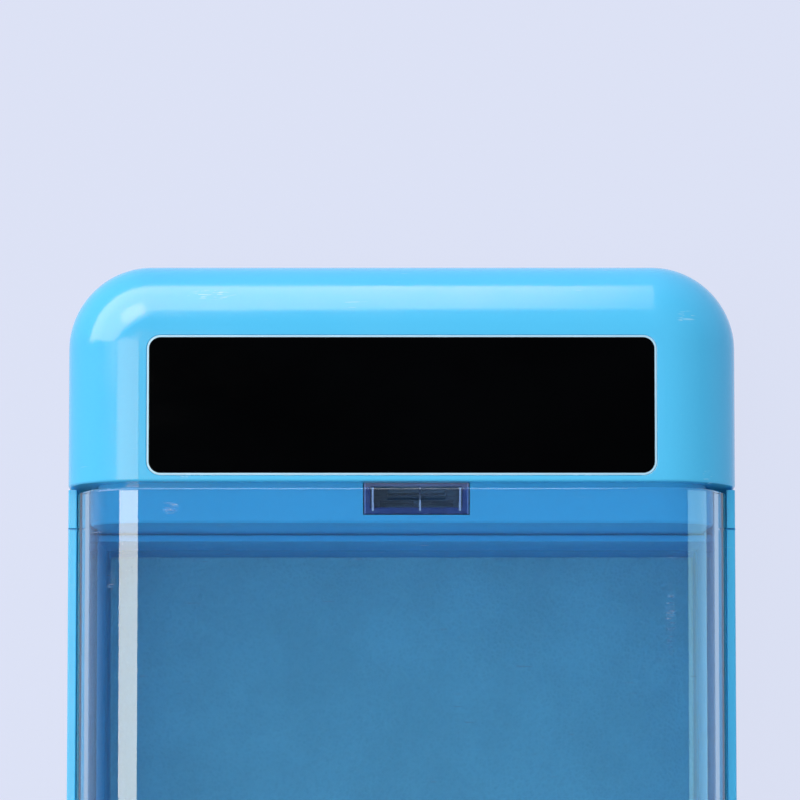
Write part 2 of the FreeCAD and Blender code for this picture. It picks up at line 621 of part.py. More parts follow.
def neck_body():
    """The neck that slips under the door, solid, with its outer edge eased."""
    neck = domed_blank(NECK_INSET, Z_SPLIT, Z_FACE - NECK_TOP)
    neck = between_y(neck, NECK_Y0, STEP_Y + WALL)
    return neck.makeFillet(NECK_EDGE_R, rim_edges(neck, NECK_Y0))


def neck_groove():
    """What is cut from the neck's top and sides between the door's edge and the step."""
    slab = between_y(domed_blank(0, Z_SPLIT + NECK_GROOVE_FOOT, 0), DOOR_Y1, STEP_Y)
    return slab.cut(domed_blank(NECK_INSET + NECK_GROOVE, Z_SPLIT, Z_FACE - NECK_TOP + NECK_GROOVE))


def top_housing():
    """The blue cover of the bay, with the window, the neck and the posts for board and screws."""
    dome = between_y(domed_blank(0, Z_SPLIT, 0), STEP_Y, CASE_Y1)
    dome = dome.makeFillet(STEP_EDGE_R, rim_edges(dome, STEP_Y))
    room = between_y(domed_blank(WALL, Z_SPLIT - OVER, WALL), STEP_Y + WALL, CASE_Y1)
    throat = domed_blank(NECK_INSET + NECK_WALL, Z_SPLIT - OVER, Z_FACE - NECK_TOP + NECK_WALL)
    throat = between_y(throat, NECK_Y0 + NECK_WALL, STEP_Y + WALL + ROOT)
    shell = dome.fuse(neck_body().cut(neck_groove())).cut(room).cut(throat)
    post_top = Z_FACE - WALL / 2
    posts = [rod_z(CASE_BOSS_R, x, y, Z_SPLIT, post_top) for x, y in CASE_SCREWS]
    posts += [rod_z(BOARD_POST_R, x, y, BOARD_TOP, post_top) for x, y in BOARD_SCREWS]
    shell = shell.fuse([post.common(dome) for post in posts])
    for x, y in CASE_SCREWS:
        tip = Z_SPLIT + CASE_SCREW_BITE + SCREW_TIP_GAP
        shell = shell.cut(rod_z(CASE_SCREW_R + SCREW_FIT, x, y, Z_SPLIT - OVER, tip))
    for x, y in BOARD_SCREWS:
        tip = BOARD_TOP + SMALL_SCREW_BITE + SCREW_TIP_GAP
        shell = shell.cut(small_hole(x, y, BOARD_TOP - OVER, tip))
    return cut_end_openings(cut_pocket(cut_window(shell.cut(rebate()))))


def cut_window(shell):
    """The recess for the lens, with an eased rim, and the hole for the display module behind it."""
    recess = window_plate(WINDOW_WIDTH, WINDOW_HEIGHT, LENS_SEAT_Z, Z_FACE + OVER, WINDOW_CORNER_R)
    shell = shell.cut(recess)
    low, high = WINDOW_Y - WINDOW_HEIGHT / 2, WINDOW_Y + WINDOW_HEIGHT / 2
    rim = []
    for edge in edges_at_height(shell, Z_FACE):
        at = edge.CenterOfMass
        if abs(at.x) < WINDOW_WIDTH / 2 + TINY and low - TINY < at.y < high + TINY:
            rim.append(edge)
    shell = shell.makeFillet(WINDOW_EDGE_R, rim)
    sight = window_plate(
        LED_WIDTH + 2 * SIGHT_GAP, LED_HEIGHT + 2 * SIGHT_GAP, BOARD_TOP, Z_FACE, SIGHT_CORNER_R
    )
    return shell.cut(sight)


def cut_pocket(shell):
    """The hole in the neck for the lock's chassis, and its notch in the step below the neck's top."""
    half = POCKET_WIDTH / 2 + POCKET_FIT
    shell = shell.cut(lock_box(half, POCKET_FRONT - POCKET_FIT, STEP_Y, Z_SPLIT - OVER, NECK_TOP + OVER))
    notch_top = NECK_TOP - POCKET_FLOOR
    return shell.cut(lock_box(half, STEP_Y - OVER, POCKET_BACK + POCKET_FIT, Z_SPLIT - OVER, notch_top))


def cut_end_openings(shell):
    """The holes for the buttons, spot-faced inside for their flanges, and for the charging port."""
    for x in BUTTON_XS:
        shell = shell.cut(rod_y(BUTTON_R + BUTTON_FIT, x, BUTTON_Z, END_WALL_Y - OVER, CASE_Y1 + OVER))
        shell = shell.cut(rod_y(BUTTON_FLANGE_R + BUTTON_FIT, x, BUTTON_Z, STEM_Y1, END_WALL_Y))
    return shell.cut(port_outline(PORT_FIT, END_WALL_Y - OVER, CASE_Y1 + OVER))


def clear_door():
    """The clear dome over the compartment, open at the neck, with its barrel and the locking tab."""
    outer = between_y(domed_blank(DOOR_SET_IN, Z_SPLIT + DOOR_SEAT_GAP, 0), CASE_Y0, DOOR_Y1)
    outer = outer.makeFillet(DOOR_EDGE_R, rim_edges(outer, DOOR_Y1))
    shell = outer.cut(domed_blank(RIM_WALL, Z_SPLIT - OVER, DOOR_WALL)).cut(rebate())
    half = DOOR_BARREL_LENGTH / 2
    shell = shell.fuse(barrel(-half, half, 1, CASE_Y0 + (DOOR_SET_IN + LAP_INSET) / 2))
    return shell.cut(pin_bore(PIN_R + PIN_FIT)).fuse(locking_tab())


def locking_tab():
    """A plate below the door's face, with a window for the bolt, a tapered foot and three ribs."""
    half = TAB_WIDTH / 2
    top = Z_FACE - DOOR_WALL / 2
    taper = TAB_THICKNESS * 0.4
    outline = [
        (TAB_Y0, top), (TAB_Y0, TAB_WINDOW_Z0), (TAB_Y0 + taper, TAB_Z0), (DOOR_Y1, TAB_Z0), (DOOR_Y1, top)
    ]
    tab = prism_x(outline, LOCK_X - half, LOCK_X + half)
    rib = [(TAB_Y0, top), (TAB_Y0, TAB_WINDOW_Z1 + OVER), (TAB_Y0 - TAB_RIB_REACH, top)]
    for x in (LOCK_X - half, LOCK_X - TAB_RIB / 2, LOCK_X + half - TAB_RIB):
        tab = tab.fuse(prism_x(rib, x, x + TAB_RIB))
    opening = BOLT_WIDTH / 2 + TAB_WINDOW_CLEARANCE
    return tab.cut(lock_box(opening, TAB_Y0 - OVER, DOOR_Y1 + OVER, TAB_WINDOW_Z0, TAB_WINDOW_Z1))


def hinge_pin():
    half = DOOR_BARREL_LENGTH / 2 + BARREL_SIDE_GAP + BASE_BARREL_LENGTH - PIN_RECESS
    return rod(PIN_R, (-half, HINGE_Y, HINGE_Z), (half, HINGE_Y, HINGE_Z))


def housing_screws():
    length = CASE_SCREW_GRIP + CASE_SCREW_BITE
    return [
        screw(x, y, CASE_SCREW_Z, CASE_SCREW_R, length, CASE_SCREW_HEAD_R, CASE_SCREW_HEAD)
        for x, y in CASE_SCREWS
    ]


def rubber_feet():
    feet = [rod_z(FOOT_R, x, y, 0, Z_BACK + FOOT_SUNK) for x, y in FEET]
    return [foot.makeFillet(FOOT_EDGE_R, edges_at_height(foot, 0)) for foot in feet]


def compartment_pad():
    """A flat foam pad, rounded with the tub at the hinge end and square at the bulkhead."""
    gap = INNER_FLOOR_R + PAD_CLEARANCE
    pad = case_blank(RIM_WALL + gap, Z_FLOOR, Z_FLOOR + PAD_THICKNESS)
    return between_y(pad, CASE_Y0, BULKHEAD_Y0 - gap)


# ---------------------------------------------------------------- display
def display_lens():
    lens = window_plate(LENS_WIDTH, LENS_HEIGHT, LENS_SEAT_Z + ADHESIVE, Z_FACE, LENS_CORNER_R)
    return lens.makeFillet(LENS_EDGE_R, edges_at_height(lens, Z_FACE))


def lens_rim():
    """The pale ring that frames the lens in its recess."""
    grow = 2 * LENS_RIM
    ring = window_plate(
        LENS_WIDTH + grow, LENS_HEIGHT + grow, LENS_SEAT_Z + ADHESIVE, Z_FACE, LENS_CORNER_R + LENS_RIM
    )
    return ring.cut(window_plate(LENS_WIDTH, LENS_HEIGHT, LENS_SEAT_Z, Z_FACE + OVER, LENS_CORNER_R))


def lens_adhesive():
    """A frame of tape between the lens and its seat."""
    inset = 2 * ADHESIVE_SET_IN
    frame = window_plate(
        WINDOW_WIDTH - inset, WINDOW_HEIGHT - inset,
        LENS_SEAT_Z, LENS_SEAT_Z + ADHESIVE, WINDOW_CORNER_R - ADHESIVE_SET_IN,
    )
    hole = window_plate(
        LED_WIDTH + 2 * SIGHT_GAP + inset, LED_HEIGHT + 2 * SIGHT_GAP + inset,
        LENS_SEAT_Z - OVER, Z_FACE, SIGHT_CORNER_R + ADHESIVE_SET_IN,
    )
    return frame.cut(hole)


def digit_bars(cx, z0, z1):
    """The seven bars of the digit centred at cx, between two heights."""
    w, h, t = DIGIT_WIDTH / 2, DIGIT_HEIGHT / 2, DIGIT_STROKE / 2
    reach = w - DIGIT_STROKE - DIGIT_GAP
    flat = [
        box(cx - reach, cx + reach, WINDOW_Y + y - t, WINDOW_Y + y + t, z0, z1) for y in (t - h, 0.0, h - t)
    ]
    upright = [
        box(cx + x - t, cx + x + t, WINDOW_Y + y0, WINDOW_Y + y1, z0, z1)
        for x in (t - w, w - t)
        for y0, y1 in ((DIGIT_GAP - h, -DIGIT_GAP), (DIGIT_GAP, h - DIGIT_GAP))
    ]
    return flat + upright


def lit_shapes(z0, z1):
    """Every bar of every digit, and the two dots between hours and minutes."""
    shapes = [rod_z(COLON_R, 0, WINDOW_Y + s * COLON_SPREAD, z0, z1) for s in (-1, 1)]
    for x in spread(DIGIT_COUNT, DIGIT_PITCH):
        shapes += digit_bars(x, z0, z1)
    return shapes


def led_display_body():
    """The dark display module, with a shallow pit for each lit shape."""
    half, h = LED_WIDTH / 2, LED_HEIGHT / 2
    body = box(-half, half, WINDOW_Y - h, WINDOW_Y + h, BOARD_TOP, LED_TOP)
    return body.cut(lit_shapes(LED_TOP - DIGIT_DEPTH, LED_TOP + OVER))


def led_segments():
    return lit_shapes(LED_TOP - DIGIT_DEPTH, LED_TOP)


def module_pin_places():
    """Two rows of pins, near the module's long sides."""
    row = LED_HEIGHT / 2 - MODULE_PIN_SET_IN
    return [(x, WINDOW_Y + s * row) for x in spread(MODULE_PIN_COUNT, MODULE_PIN_PITCH) for s in (-1, 1)]


def led_pins():
    return [rod_z(MODULE_PIN_R, x, y, BOARD_Z - MODULE_PIN_TAIL, BOARD_TOP) for x, y in module_pin_places()]


# ---------------------------------------------------------------- circuit board
def main_board():
    board = plate(-BOARD_HALF, BOARD_HALF, BOARD_Y0, BOARD_Y1, BOARD_Z, BOARD_TOP, BOARD_CORNER_R)
    holes = [small_hole(x, y, BOARD_Z - OVER, BOARD_TOP + OVER) for x, y in BOARD_SCREWS]
    radius = MODULE_PIN_R + MODULE_PIN_FIT
    holes += [rod_z(radius, x, y, BOARD_Z - OVER, BOARD_TOP + OVER) for x, y in module_pin_places()]
    return board.cut(holes)


def board_screws():
    return [small_screw(x, y, BOARD_Z, BOARD_THICKNESS + SMALL_SCREW_BITE) for x, y in BOARD_SCREWS]


def chip_y(size):
    """The middle of a chip whose legs stand beside the board's inner edge."""
    return BOARD_Y0 + CHIP_EDGE_GAP + CHIP_LEG + size[1] / 2


def chip(cx, size, legs):
    """A chip below the board, its legs down both long sides, one row beside the board's inner edge."""
    length, width, height = size
    cy = chip_y(size)
    top = BOARD_Z - CHIP_LIFT
    solids = [box(cx - length / 2, cx + length / 2, cy - width / 2, cy + width / 2, top - height, top)]
    for dx in spread(legs, length / legs):
        x = cx + dx
        for s in (-1, 1):
            y0, y1 = sorted((cy + s * width / 2, cy + s * (width / 2 + CHIP_LEG)))
            half = CHIP_LEG_WIDTH / 2
            solids.append(box(x - half, x + half, y0, y1, BOARD_Z - CHIP_LEG_HEIGHT, BOARD_Z))
    return solids


def timer_chip():
    return chip(TIMER_CHIP_X, TIMER_CHIP, TIMER_CHIP_LEGS)


def driver_chip():
    return chip(BUZZER_X, DRIVER_CHIP, DRIVER_CHIP_LEGS)


def small_components():
    """Resistors and capacitors below the board: a row beyond the timer chip, and one beside the buzzer."""
    length, width, height = SMALL_PART
    beside_chip, beside_buzzer = SMALL_PART_COUNTS
    row_y = chip_y(TIMER_CHIP) + TIMER_CHIP[1] / 2 + CHIP_LEG + SMALL_PART_GAP + width / 2
    row_x = BUZZER_X + BUZZER_R + SMALL_PART_GAP + length / 2
    spots = [(TIMER_CHIP_X + dx, row_y) for dx in spread(beside_chip, SMALL_PART_PITCH)]
    between_screws = sum(BOARD_SCREW_YS) / 2
    spots += [(row_x, between_screws + dy) for dy in spread(beside_buzzer, SMALL_PART_PITCH)]
    return [
        box(x - length / 2, x + length / 2, y - width / 2, y + width / 2, BOARD_Z - height, BOARD_Z)
        for x, y in spots
    ]


def buzzer():
    bottom = BOARD_Z - BUZZER_HEIGHT
    can = rod_z(BUZZER_R, BUZZER_X, BUZZER_Y, bottom, BOARD_Z)
    can = can.makeFillet(BUTTON_EDGE_R, edges_at_height(can, bottom))
    return can.cut(rod_z(BUZZER_MOUTH_R, BUZZER_X, BUZZER_Y, bottom - OVER, bottom + BUZZER_HEIGHT / 2))


def wire_plug(x, y):
    """A connector below the board, with a recess that the leads go into."""
    w, h = PLUG_SIZE[0] / 2, PLUG_SIZE[1] / 2
    block = box(x - w, x + w, y - h, y + h, PLUG_Z, BOARD_Z)
    w, h = w - PLUG_WALL, h - PLUG_WALL
    return block.cut(box(x - w, x + w, y - h, y + h, PLUG_Z - OVER, PLUG_Z + PLUG_DEPTH))


def wire_plugs():
    return [wire_plug(BATTERY_PLUG_X, BATTERY_Y), wire_plug(SOLENOID_PLUG_X, COIL_Y)]


def port_outline(grow, y0, y1):
    """The charging port's rounded outline, grown all round, between two places along Y."""
    w, h = PORT_WIDTH / 2 + grow, PORT_HEIGHT / 2 + grow
    slab = box(PORT_X - w, PORT_X + w, y0, y1, PORT_Z - h, PORT_Z + h)
    return slab.makeFillet(h * 0.95, along_y(slab.Edges))


def port_shell():
    """The charging port's steel can, open to the outside."""
    hollow = port_outline(-PORT_SHEET, PORT_Y0 + PORT_BACK, PORT_Y1 + OVER)
    return port_outline(0, PORT_Y0, PORT_Y1).cut(hollow)


def port_tongue():
    """The contact tongue in the port, with its block at the back."""
    block = port_outline(-PORT_SHEET, PORT_Y0 + PORT_BACK, PORT_Y0 + PORT_BACK + PORT_BLOCK)
    w, h = PORT_TONGUE[0] / 2, PORT_TONGUE[1] / 2
    end = PORT_Y1 - PORT_TONGUE_SET_BACK
    return block.fuse(box(PORT_X - w, PORT_X + w, PORT_Y0 + PORT_BACK, end, PORT_Z - h, PORT_Z + h))


def battery():
    pouch = box(
        BATTERY_X0, BATTERY_X1, BATTERY_Y0, BATTERY_Y0 + BATTERY_LENGTH,
        BATTERY_Z, BATTERY_Z + BATTERY_THICKNESS,
    )
    return pouch.makeFillet(BATTERY_EDGE_R, along_y(pouch.Edges))


def battery_tape():
    inset = BATTERY_EDGE_R + TAPE_SET_IN
    return box(
        BATTERY_X0 + inset, BATTERY_X1 - inset,
        BATTERY_Y0 + TAPE_SET_IN, BATTERY_Y0 + BATTERY_LENGTH - TAPE_SET_IN, Z_FLOOR, BATTERY_Z,
    )


def lead_pair(start_x, end_x, y, z):
    """Two wires side by side that run along X, then up into a plug's recess."""
    top = PLUG_Z + PLUG_DEPTH
    bend = 0.45 * min(end_x - start_x, top - z)
    ys = (y - LEAD_SPACING / 2, y + LEAD_SPACING / 2)
    return [lead([(start_x, at, z), (end_x, at, z), (end_x, at, top)], bend) for at in ys]


def battery_leads():
    return lead_pair(BATTERY_X1, BATTERY_PLUG_X, BATTERY_Y, BATTERY_Z + BATTERY_THICKNESS / 2)


def solenoid_leads():
    return lead_pair(LOCK_X + COIL_R, SOLENOID_PLUG_X, COIL_Y, AXIS_Z)


# ---------------------------------------------------------------- lock
def lock_chassis():
    """The dark moulding that lines the pocket in the neck and carries the solenoid behind it."""
    half = POCKET_WIDTH / 2
    liner = lock_box(half, POCKET_FRONT, POCKET_BACK, WELL_Z - POCKET_FLOOR, NECK_TOP)
    over_step = lock_box(
        half + OVER, STEP_Y - POCKET_FIT, POCKET_BACK + OVER,
        NECK_TOP - POCKET_FLOOR - POCKET_FIT, NECK_TOP + OVER,
    )
    leg = lock_box(half, WELL_BACK, POCKET_BACK, CHASSIS_Z, WELL_Z)
    tray = lock_box(CHASSIS_WIDTH / 2, WELL_BACK, YOKE_Y1, CHASSIS_Z, YOKE_Z)
    well = lock_box(half - POCKET_WALL, POCKET_FRONT + POCKET_WALL, WELL_BACK, WELL_Z, NECK_TOP + OVER)
    liner = liner.cut([over_step, well, neck_groove()])
    liner = liner.makeFillet(LINER_EDGE_R, edges_at_height(liner, NECK_TOP))
    chassis = liner.fuse([leg, tray]).cut(well)
    inner = BOLT_ARM_WIDTH / 2 + BOLT_CLEARANCE
    cheeks = lock_box(inner + BOLT_GUIDE, POCKET_BACK - ROOT, ARM_Y1, YOKE_Z - ROOT, NOSE_Z1)
    slot = lock_box(inner, POCKET_BACK, ARM_Y1 + OVER, YOKE_Z, NOSE_Z1 + OVER)
    chassis = chassis.fuse(cheeks.cut(slot))
    port = lock_box(
        BOLT_WIDTH / 2 + BOLT_CLEARANCE, DOOR_Y1, POCKET_BACK + ROOT,
        NOSE_Z0 - BOLT_CLEARANCE, NOSE_Z1 + BOLT_CLEARANCE,
    )
    holes = [small_hole(x, y, CHASSIS_Z - OVER, YOKE_Z + OVER) for x, y in CHASSIS_SCREWS + YOKE_SCREWS]
    return chassis.cut([port] + holes)


def chassis_screws():
    length = YOKE_Z - Z_FLOOR - SCREW_TIP_GAP
    return [small_screw(x, y, YOKE_Z, length, way=-1) for x, y in CHASSIS_SCREWS]


def solenoid_screws():
    """Two short screws up through the chassis into the yoke."""
    return [small_screw(x, y, CHASSIS_Z, CHASSIS_PLATE + YOKE_SHEET) for x, y in YOKE_SCREWS]


def solenoid_yoke():
    """A steel C frame: front plate, floor and back plate."""
    half = YOKE_WIDTH / 2
    top = YOKE_Z + YOKE_HEIGHT
    frame = lock_box(half, YOKE_Y0, YOKE_Y1, YOKE_Z, top)
    gap = lock_box(half + OVER, BOBBIN_Y0, BOBBIN_Y1, YOKE_Z + YOKE_SHEET, top + OVER)
    bore = rod_y(PLUNGER_R + PLUNGER_FIT, LOCK_X, AXIS_Z, YOKE_Y0 - OVER, BOBBIN_Y0 + ROOT)
    holes = [small_hole(x, y, YOKE_Z - OVER, YOKE_Z + YOKE_SHEET + OVER) for x, y in YOKE_SCREWS]
    return frame.cut([gap, bore] + holes)


def solenoid_bobbin():
    """The plastic spool that the coil is wound on."""
    half = YOKE_HEIGHT / 2 - YOKE_SHEET
    bore = PLUNGER_R + PLUNGER_FIT
    spool = rod_y(bore + BOBBIN_TUBE, LOCK_X, AXIS_Z, BOBBIN_Y0, BOBBIN_Y1)
    for y0 in (BOBBIN_Y0, BOBBIN_Y1 - BOBBIN_FLANGE):
        spool = spool.fuse(lock_box(half, y0, y0 + BOBBIN_FLANGE, AXIS_Z - half, AXIS_Z + half))
    return spool.cut(rod_y(bore, LOCK_X, AXIS_Z, BOBBIN_Y0 - OVER, BOBBIN_Y1 + OVER))


def solenoid_coil():
    y0, y1 = BOBBIN_Y0 + BOBBIN_FLANGE, BOBBIN_Y1 - BOBBIN_FLANGE
    bore = PLUNGER_R + PLUNGER_FIT + BOBBIN_TUBE
    return rod_y(COIL_R, LOCK_X, AXIS_Z, y0, y1).cut(rod_y(bore, LOCK_X, AXIS_Z, y0 - OVER, y1 + OVER))


def latch_magnet():
    """The magnet at the coil's blind end, which holds the plunger back until a pulse frees it."""
    return rod_y(PLUNGER_R, LOCK_X, AXIS_Z, BOBBIN_Y1 - MAGNET_LENGTH, BOBBIN_Y1)


def plunger():
    """The steel core that slides in the coil, with a neck that the bolt is pinned on."""
    neck = rod_y(PLUNGER_NECK_R, LOCK_X, AXIS_Z, ARM_Y0, ARM_Y1 + ROOT)
    body = rod_y(PLUNGER_R, LOCK_X, AXIS_Z, ARM_Y1, BOBBIN_Y1 - MAGNET_LENGTH - AIR_GAP)
    return body.fuse(neck).cut(cross_pin(PLUNGER_PIN_FIT))


def cross_pin(grow=0.0):
    """The pin through the bolt and the plunger's neck, or the hole for it."""
    y = (ARM_Y0 + ARM_Y1) / 2
    half = BOLT_ARM_WIDTH / 2
    return rod(PLUNGER_PIN_R + grow, (LOCK_X - half, y, AXIS_Z), (LOCK_X + half, y, AXIS_Z))


def latch_bolt():
    """An upright on the plunger's neck, with the nose that goes through the door's tab."""
    foot = AXIS_Z - PLUNGER_R - ROOT
    arm = lock_box(BOLT_ARM_WIDTH / 2, ARM_Y0, ARM_Y1, foot, NOSE_Z1)
    slope = BOLT_NOSE_HEIGHT / 2
    root_y = ARM_Y0 + ROOT
    outline = [
        (NOSE_TIP, NOSE_Z0), (root_y, NOSE_Z0), (root_y, NOSE_Z1), (NOSE_TIP + slope, NOSE_Z1),
        (NOSE_TIP, NOSE_Z1 - slope),
    ]
    nose = prism_x(outline, LOCK_X - BOLT_WIDTH / 2, LOCK_X + BOLT_WIDTH / 2)
    bore = rod_y(PLUNGER_NECK_R + PLUNGER_PIN_FIT, LOCK_X, AXIS_Z, ARM_Y0 - OVER, ARM_Y1 + OVER)
    return arm.fuse(nose).cut([bore, cross_pin(PLUNGER_PIN_FIT)])


def bolt_spring():
    """The spring that pushes the bolt out, squeezed between it and the yoke: half turns, end to end."""
    radius = PLUNGER_R + SPRING_CLEARANCE + SPRING_WIRE_R
    y0, y1 = ARM_Y1 + SPRING_WIRE_R, YOKE_Y0 - SPRING_WIRE_R
    halves = 2 * SPRING_TURNS
    rise = (y1 - y0) / halves
    bow = math.hypot(radius, rise / 2)
    arcs = []
    for k in range(halves):
        side = 1 if k % 2 == 0 else -1
        start = V(LOCK_X + side * radius, y0 + k * rise, AXIS_Z)
        middle = V(LOCK_X, y0 + (k + 0.5) * rise, AXIS_Z + side * bow)
        end = V(LOCK_X - side * radius, y0 + (k + 1) * rise, AXIS_Z)
        arcs.append(Part.Arc(start, middle, end).toShape())
    return swept_tube(SPRING_WIRE_R, Part.Wire(arcs), V(LOCK_X + radius, y0, AXIS_Z), V(0, 0, 1))


# ---------------------------------------------------------------- buttons
def button(x):
    """One key: a rounded cap through the end wall, a flange behind it and a post to its switch."""
    seat = END_WALL_Y - BUTTON_FLANGE_GAP
    tip = CASE_Y1 + BUTTON_PROUD
    cap = rod_y(BUTTON_R, x, BUTTON_Z, seat - BUTTON_FLANGE, tip)
    cap = cap.makeFillet(BUTTON_EDGE_R, edges_at_y(cap, tip))
    flange = rod_y(BUTTON_FLANGE_R, x, BUTTON_Z, seat - BUTTON_FLANGE, seat)
    post = rod_y(BUTTON_POST_R, x, BUTTON_Z, STEM_Y1, seat - BUTTON_FLANGE / 2)
    return cap.fuse([flange, post])


def switch_stem(x):
    w, h = STEM_SIZE[0] / 2, STEM_SIZE[1] / 2
    return box(x - w, x + w, SWITCH_Y1 - STEM_DEPTH, STEM_Y1, BUTTON_Z - h, BUTTON_Z + h)


def switch_body(x):
    """A switch below the board, with a well that its stem goes into."""
    half = SWITCH_SIZE[0] / 2
    body = box(x - half, x + half, SWITCH_Y0, SWITCH_Y1, BOARD_Z - SWITCH_SIZE[2], BOARD_Z)
    w, h = STEM_SIZE[0] / 2 + STEM_FIT, STEM_SIZE[1] / 2 + STEM_FIT
    depth = STEM_DEPTH + BUTTON_TRAVEL + STEM_ROOM
    return body.cut(box(x - w, x + w, SWITCH_Y1 - depth, SWITCH_Y1 + OVER, BUTTON_Z - h, BUTTON_Z + h))


def switch_bodies():
    return [switch_body(x) for x in BUTTON_XS]


# ---------------------------------------------------------------- writing
SHAPES = [
    base_shell, side_rails, top_housing, clear_door, hinge_pin, housing_screws, rubber_feet, compartment_pad,
    display_lens, lens_rim, lens_adhesive, led_display_body, led_segments, led_pins,
    main_board, board_screws, timer_chip, driver_chip, small_components, buzzer, wire_plugs,
    port_shell, port_tongue, battery, battery_tape, battery_leads, solenoid_leads,
    lock_chassis, chassis_screws, solenoid_yoke, solenoid_bobbin, solenoid_coil, latch_magnet,
    solenoid_screws, latch_bolt, plunger, bolt_spring, switch_bodies,
]


def nodes():
    """Every node's name with its solid, or its list of solids."""
    made = {shape.__name__: shape() for shape in SHAPES}
    made["plunger_pin"] = cross_pin()
    for name, x in zip(BUTTON_NAMES, BUTTON_XS):
        made[name + "_button"] = button(x)
        made[name + "_switch_stem"] = switch_stem(x)
    return made


def main():
    os.makedirs("parts", exist_ok=True)
    for name, made in nodes().items():
        solids = made if isinstance(made, list) else [made]
        solids = [s for shape in solids for s in shape.removeSplitter().Solids]
        shape = solids[0] if len(solids) == 1 else Part.makeCompound(solids)
        shape.exportStep("parts/" + name + ".step")
        print("%-20s %3d solids %10.2f mm3 valid %s" % (name, len(solids), shape.Volume, shape.isValid()))


main()
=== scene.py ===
"""Looks of the timed lock container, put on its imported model: finishes, floor, light and camera."""
import json
import math

import bpy
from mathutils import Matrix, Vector


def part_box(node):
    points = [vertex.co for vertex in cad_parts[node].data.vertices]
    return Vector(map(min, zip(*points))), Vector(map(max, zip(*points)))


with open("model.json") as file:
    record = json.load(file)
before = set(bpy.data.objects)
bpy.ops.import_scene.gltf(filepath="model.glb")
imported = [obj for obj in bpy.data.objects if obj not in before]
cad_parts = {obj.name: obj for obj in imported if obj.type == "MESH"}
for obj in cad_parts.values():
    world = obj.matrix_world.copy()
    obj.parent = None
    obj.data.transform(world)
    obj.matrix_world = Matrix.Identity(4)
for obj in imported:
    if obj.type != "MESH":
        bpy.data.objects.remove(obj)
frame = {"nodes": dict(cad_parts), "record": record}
bpy.context.view_layer.update()

MM = 0.001

# Places of the sockets that a Mix node uses for colours. Those between them are for numbers and vectors.
MIX_SHARE = 0
MIX_FIRST = 6
MIX_SECOND = 7
MIX_RESULT = 2


def linear(red, green, blue):
    """A colour given as 8-bit screen values, as the shader's linear colour."""
    parts = []
    for value in (red, green, blue):
        share = value / 255
        parts.append(share / 12.92 if share <= 0.04045 else ((share + 0.055) / 1.055) ** 2.4)
    return (*parts, 1.0)


def tone(colour, factor):
    """The colour times a factor, no brighter than 1."""
    return (*(min(1.0, part * factor) for part in colour[:3]), 1.0)


def feed(tree, value, socket):
    """Sets a socket to a number or a colour, or links it to another node's output."""
    if isinstance(value, (int, float, tuple)):
        socket.default_value = value
    else:
        tree.links.new(value, socket)


def mix_colours(tree, share, first, second):
    """The first colour where share is 0, the second where it is 1."""
    made = tree.nodes.new("ShaderNodeMix")
    made.data_type = "RGBA"
    feed(tree, share, made.inputs[MIX_SHARE])
    feed(tree, first, made.inputs[MIX_FIRST])
    feed(tree, second, made.inputs[MIX_SECOND])
    return made.outputs[MIX_RESULT]


# ---------------------------------------------------------------- places on the part

lock_low, lock_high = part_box("lock_chassis")
door_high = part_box("clear_door")[1]
LOCK_X = (lock_low[0] + lock_high[0]) / 2
DOOR_END = door_high[1]
DOOR_WALL = 1.5 * MM
DOOR_INSIDE = door_high[2] - DOOR_WALL
TAB_LINE = 5.95 * MM          # from the lock's middle to the painted highlight line beside either side of the tab
RIB_LINE = 0.5 * MM           # from the lock's middle to the painted highlight line beside the tab's middle rib
SIDE_LINE_HALF = 0.12 * MM    # half the width of the lines at the sides
RIB_LINE_HALF = 0.09 * MM     # half the width of the line at the rib
TAB_HIGHLIGHT_LINES = (
    (-TAB_LINE, SIDE_LINE_HALF),
    (RIB_LINE, RIB_LINE_HALF),
    (TAB_LINE, SIDE_LINE_HALF),
)
LINE_FADE = 0.06 * MM                       # how far the edge of such a line fades
LINE_WHOLE_Z = DOOR_INSIDE + 0.05 * MM      # up to this height the lines are whole
LINE_GONE_Z = DOOR_INSIDE + 0.15 * MM       # from this height they are gone
LINE_START_Y = DOOR_END - 3.3 * MM          # here the lines begin
LINE_WHOLE_Y = DOOR_END - 3.0 * MM          # from here to the door's end they are whole
POCKET_HALF = 7.15 * MM                     # half the width of the pocket that the tab goes into
HIGHLIGHT_START = POCKET_HALF - 0.24 * MM      # from the lock's middle to where the painted highlight along the pocket's sides begins
HIGHLIGHT_FULL = POCKET_HALF - 0.16 * MM      # and to where the painted highlight is full
PAINTED_LIGHT_TOP = 31.0 * MM                     # up to this height the pocket's plastic has painted light, as if piped down the clear tab
OWN_COLOUR_FROM = 32.9 * MM                     # from this height it has its own colour
FLAT = 1000.0                 # a size so large that a pattern doesn't change along that axis

# Wear: the middle along X and Y, the half width and the half length of each spot, in millimetres
CASE_MARKS = (
    (39.0, 101.0, 1.6, 1.2),
    (-26.0, 104.2, 3.6, 0.9),
    (-29.7, 78.7, 0.7, 0.8),
    (41.9, 79.0, 0.9, 1.3),
)
DOOR_MARKS = (
    (-31.6, 74.8, 1.7, 1.5),
    (-39.6, 64.9, 0.9, 1.8),
    (37.4, 68.0, 1.8, 0.6),
    (36.6, 59.5, 0.9, 6.5),
)

# ---------------------------------------------------------------- finishes

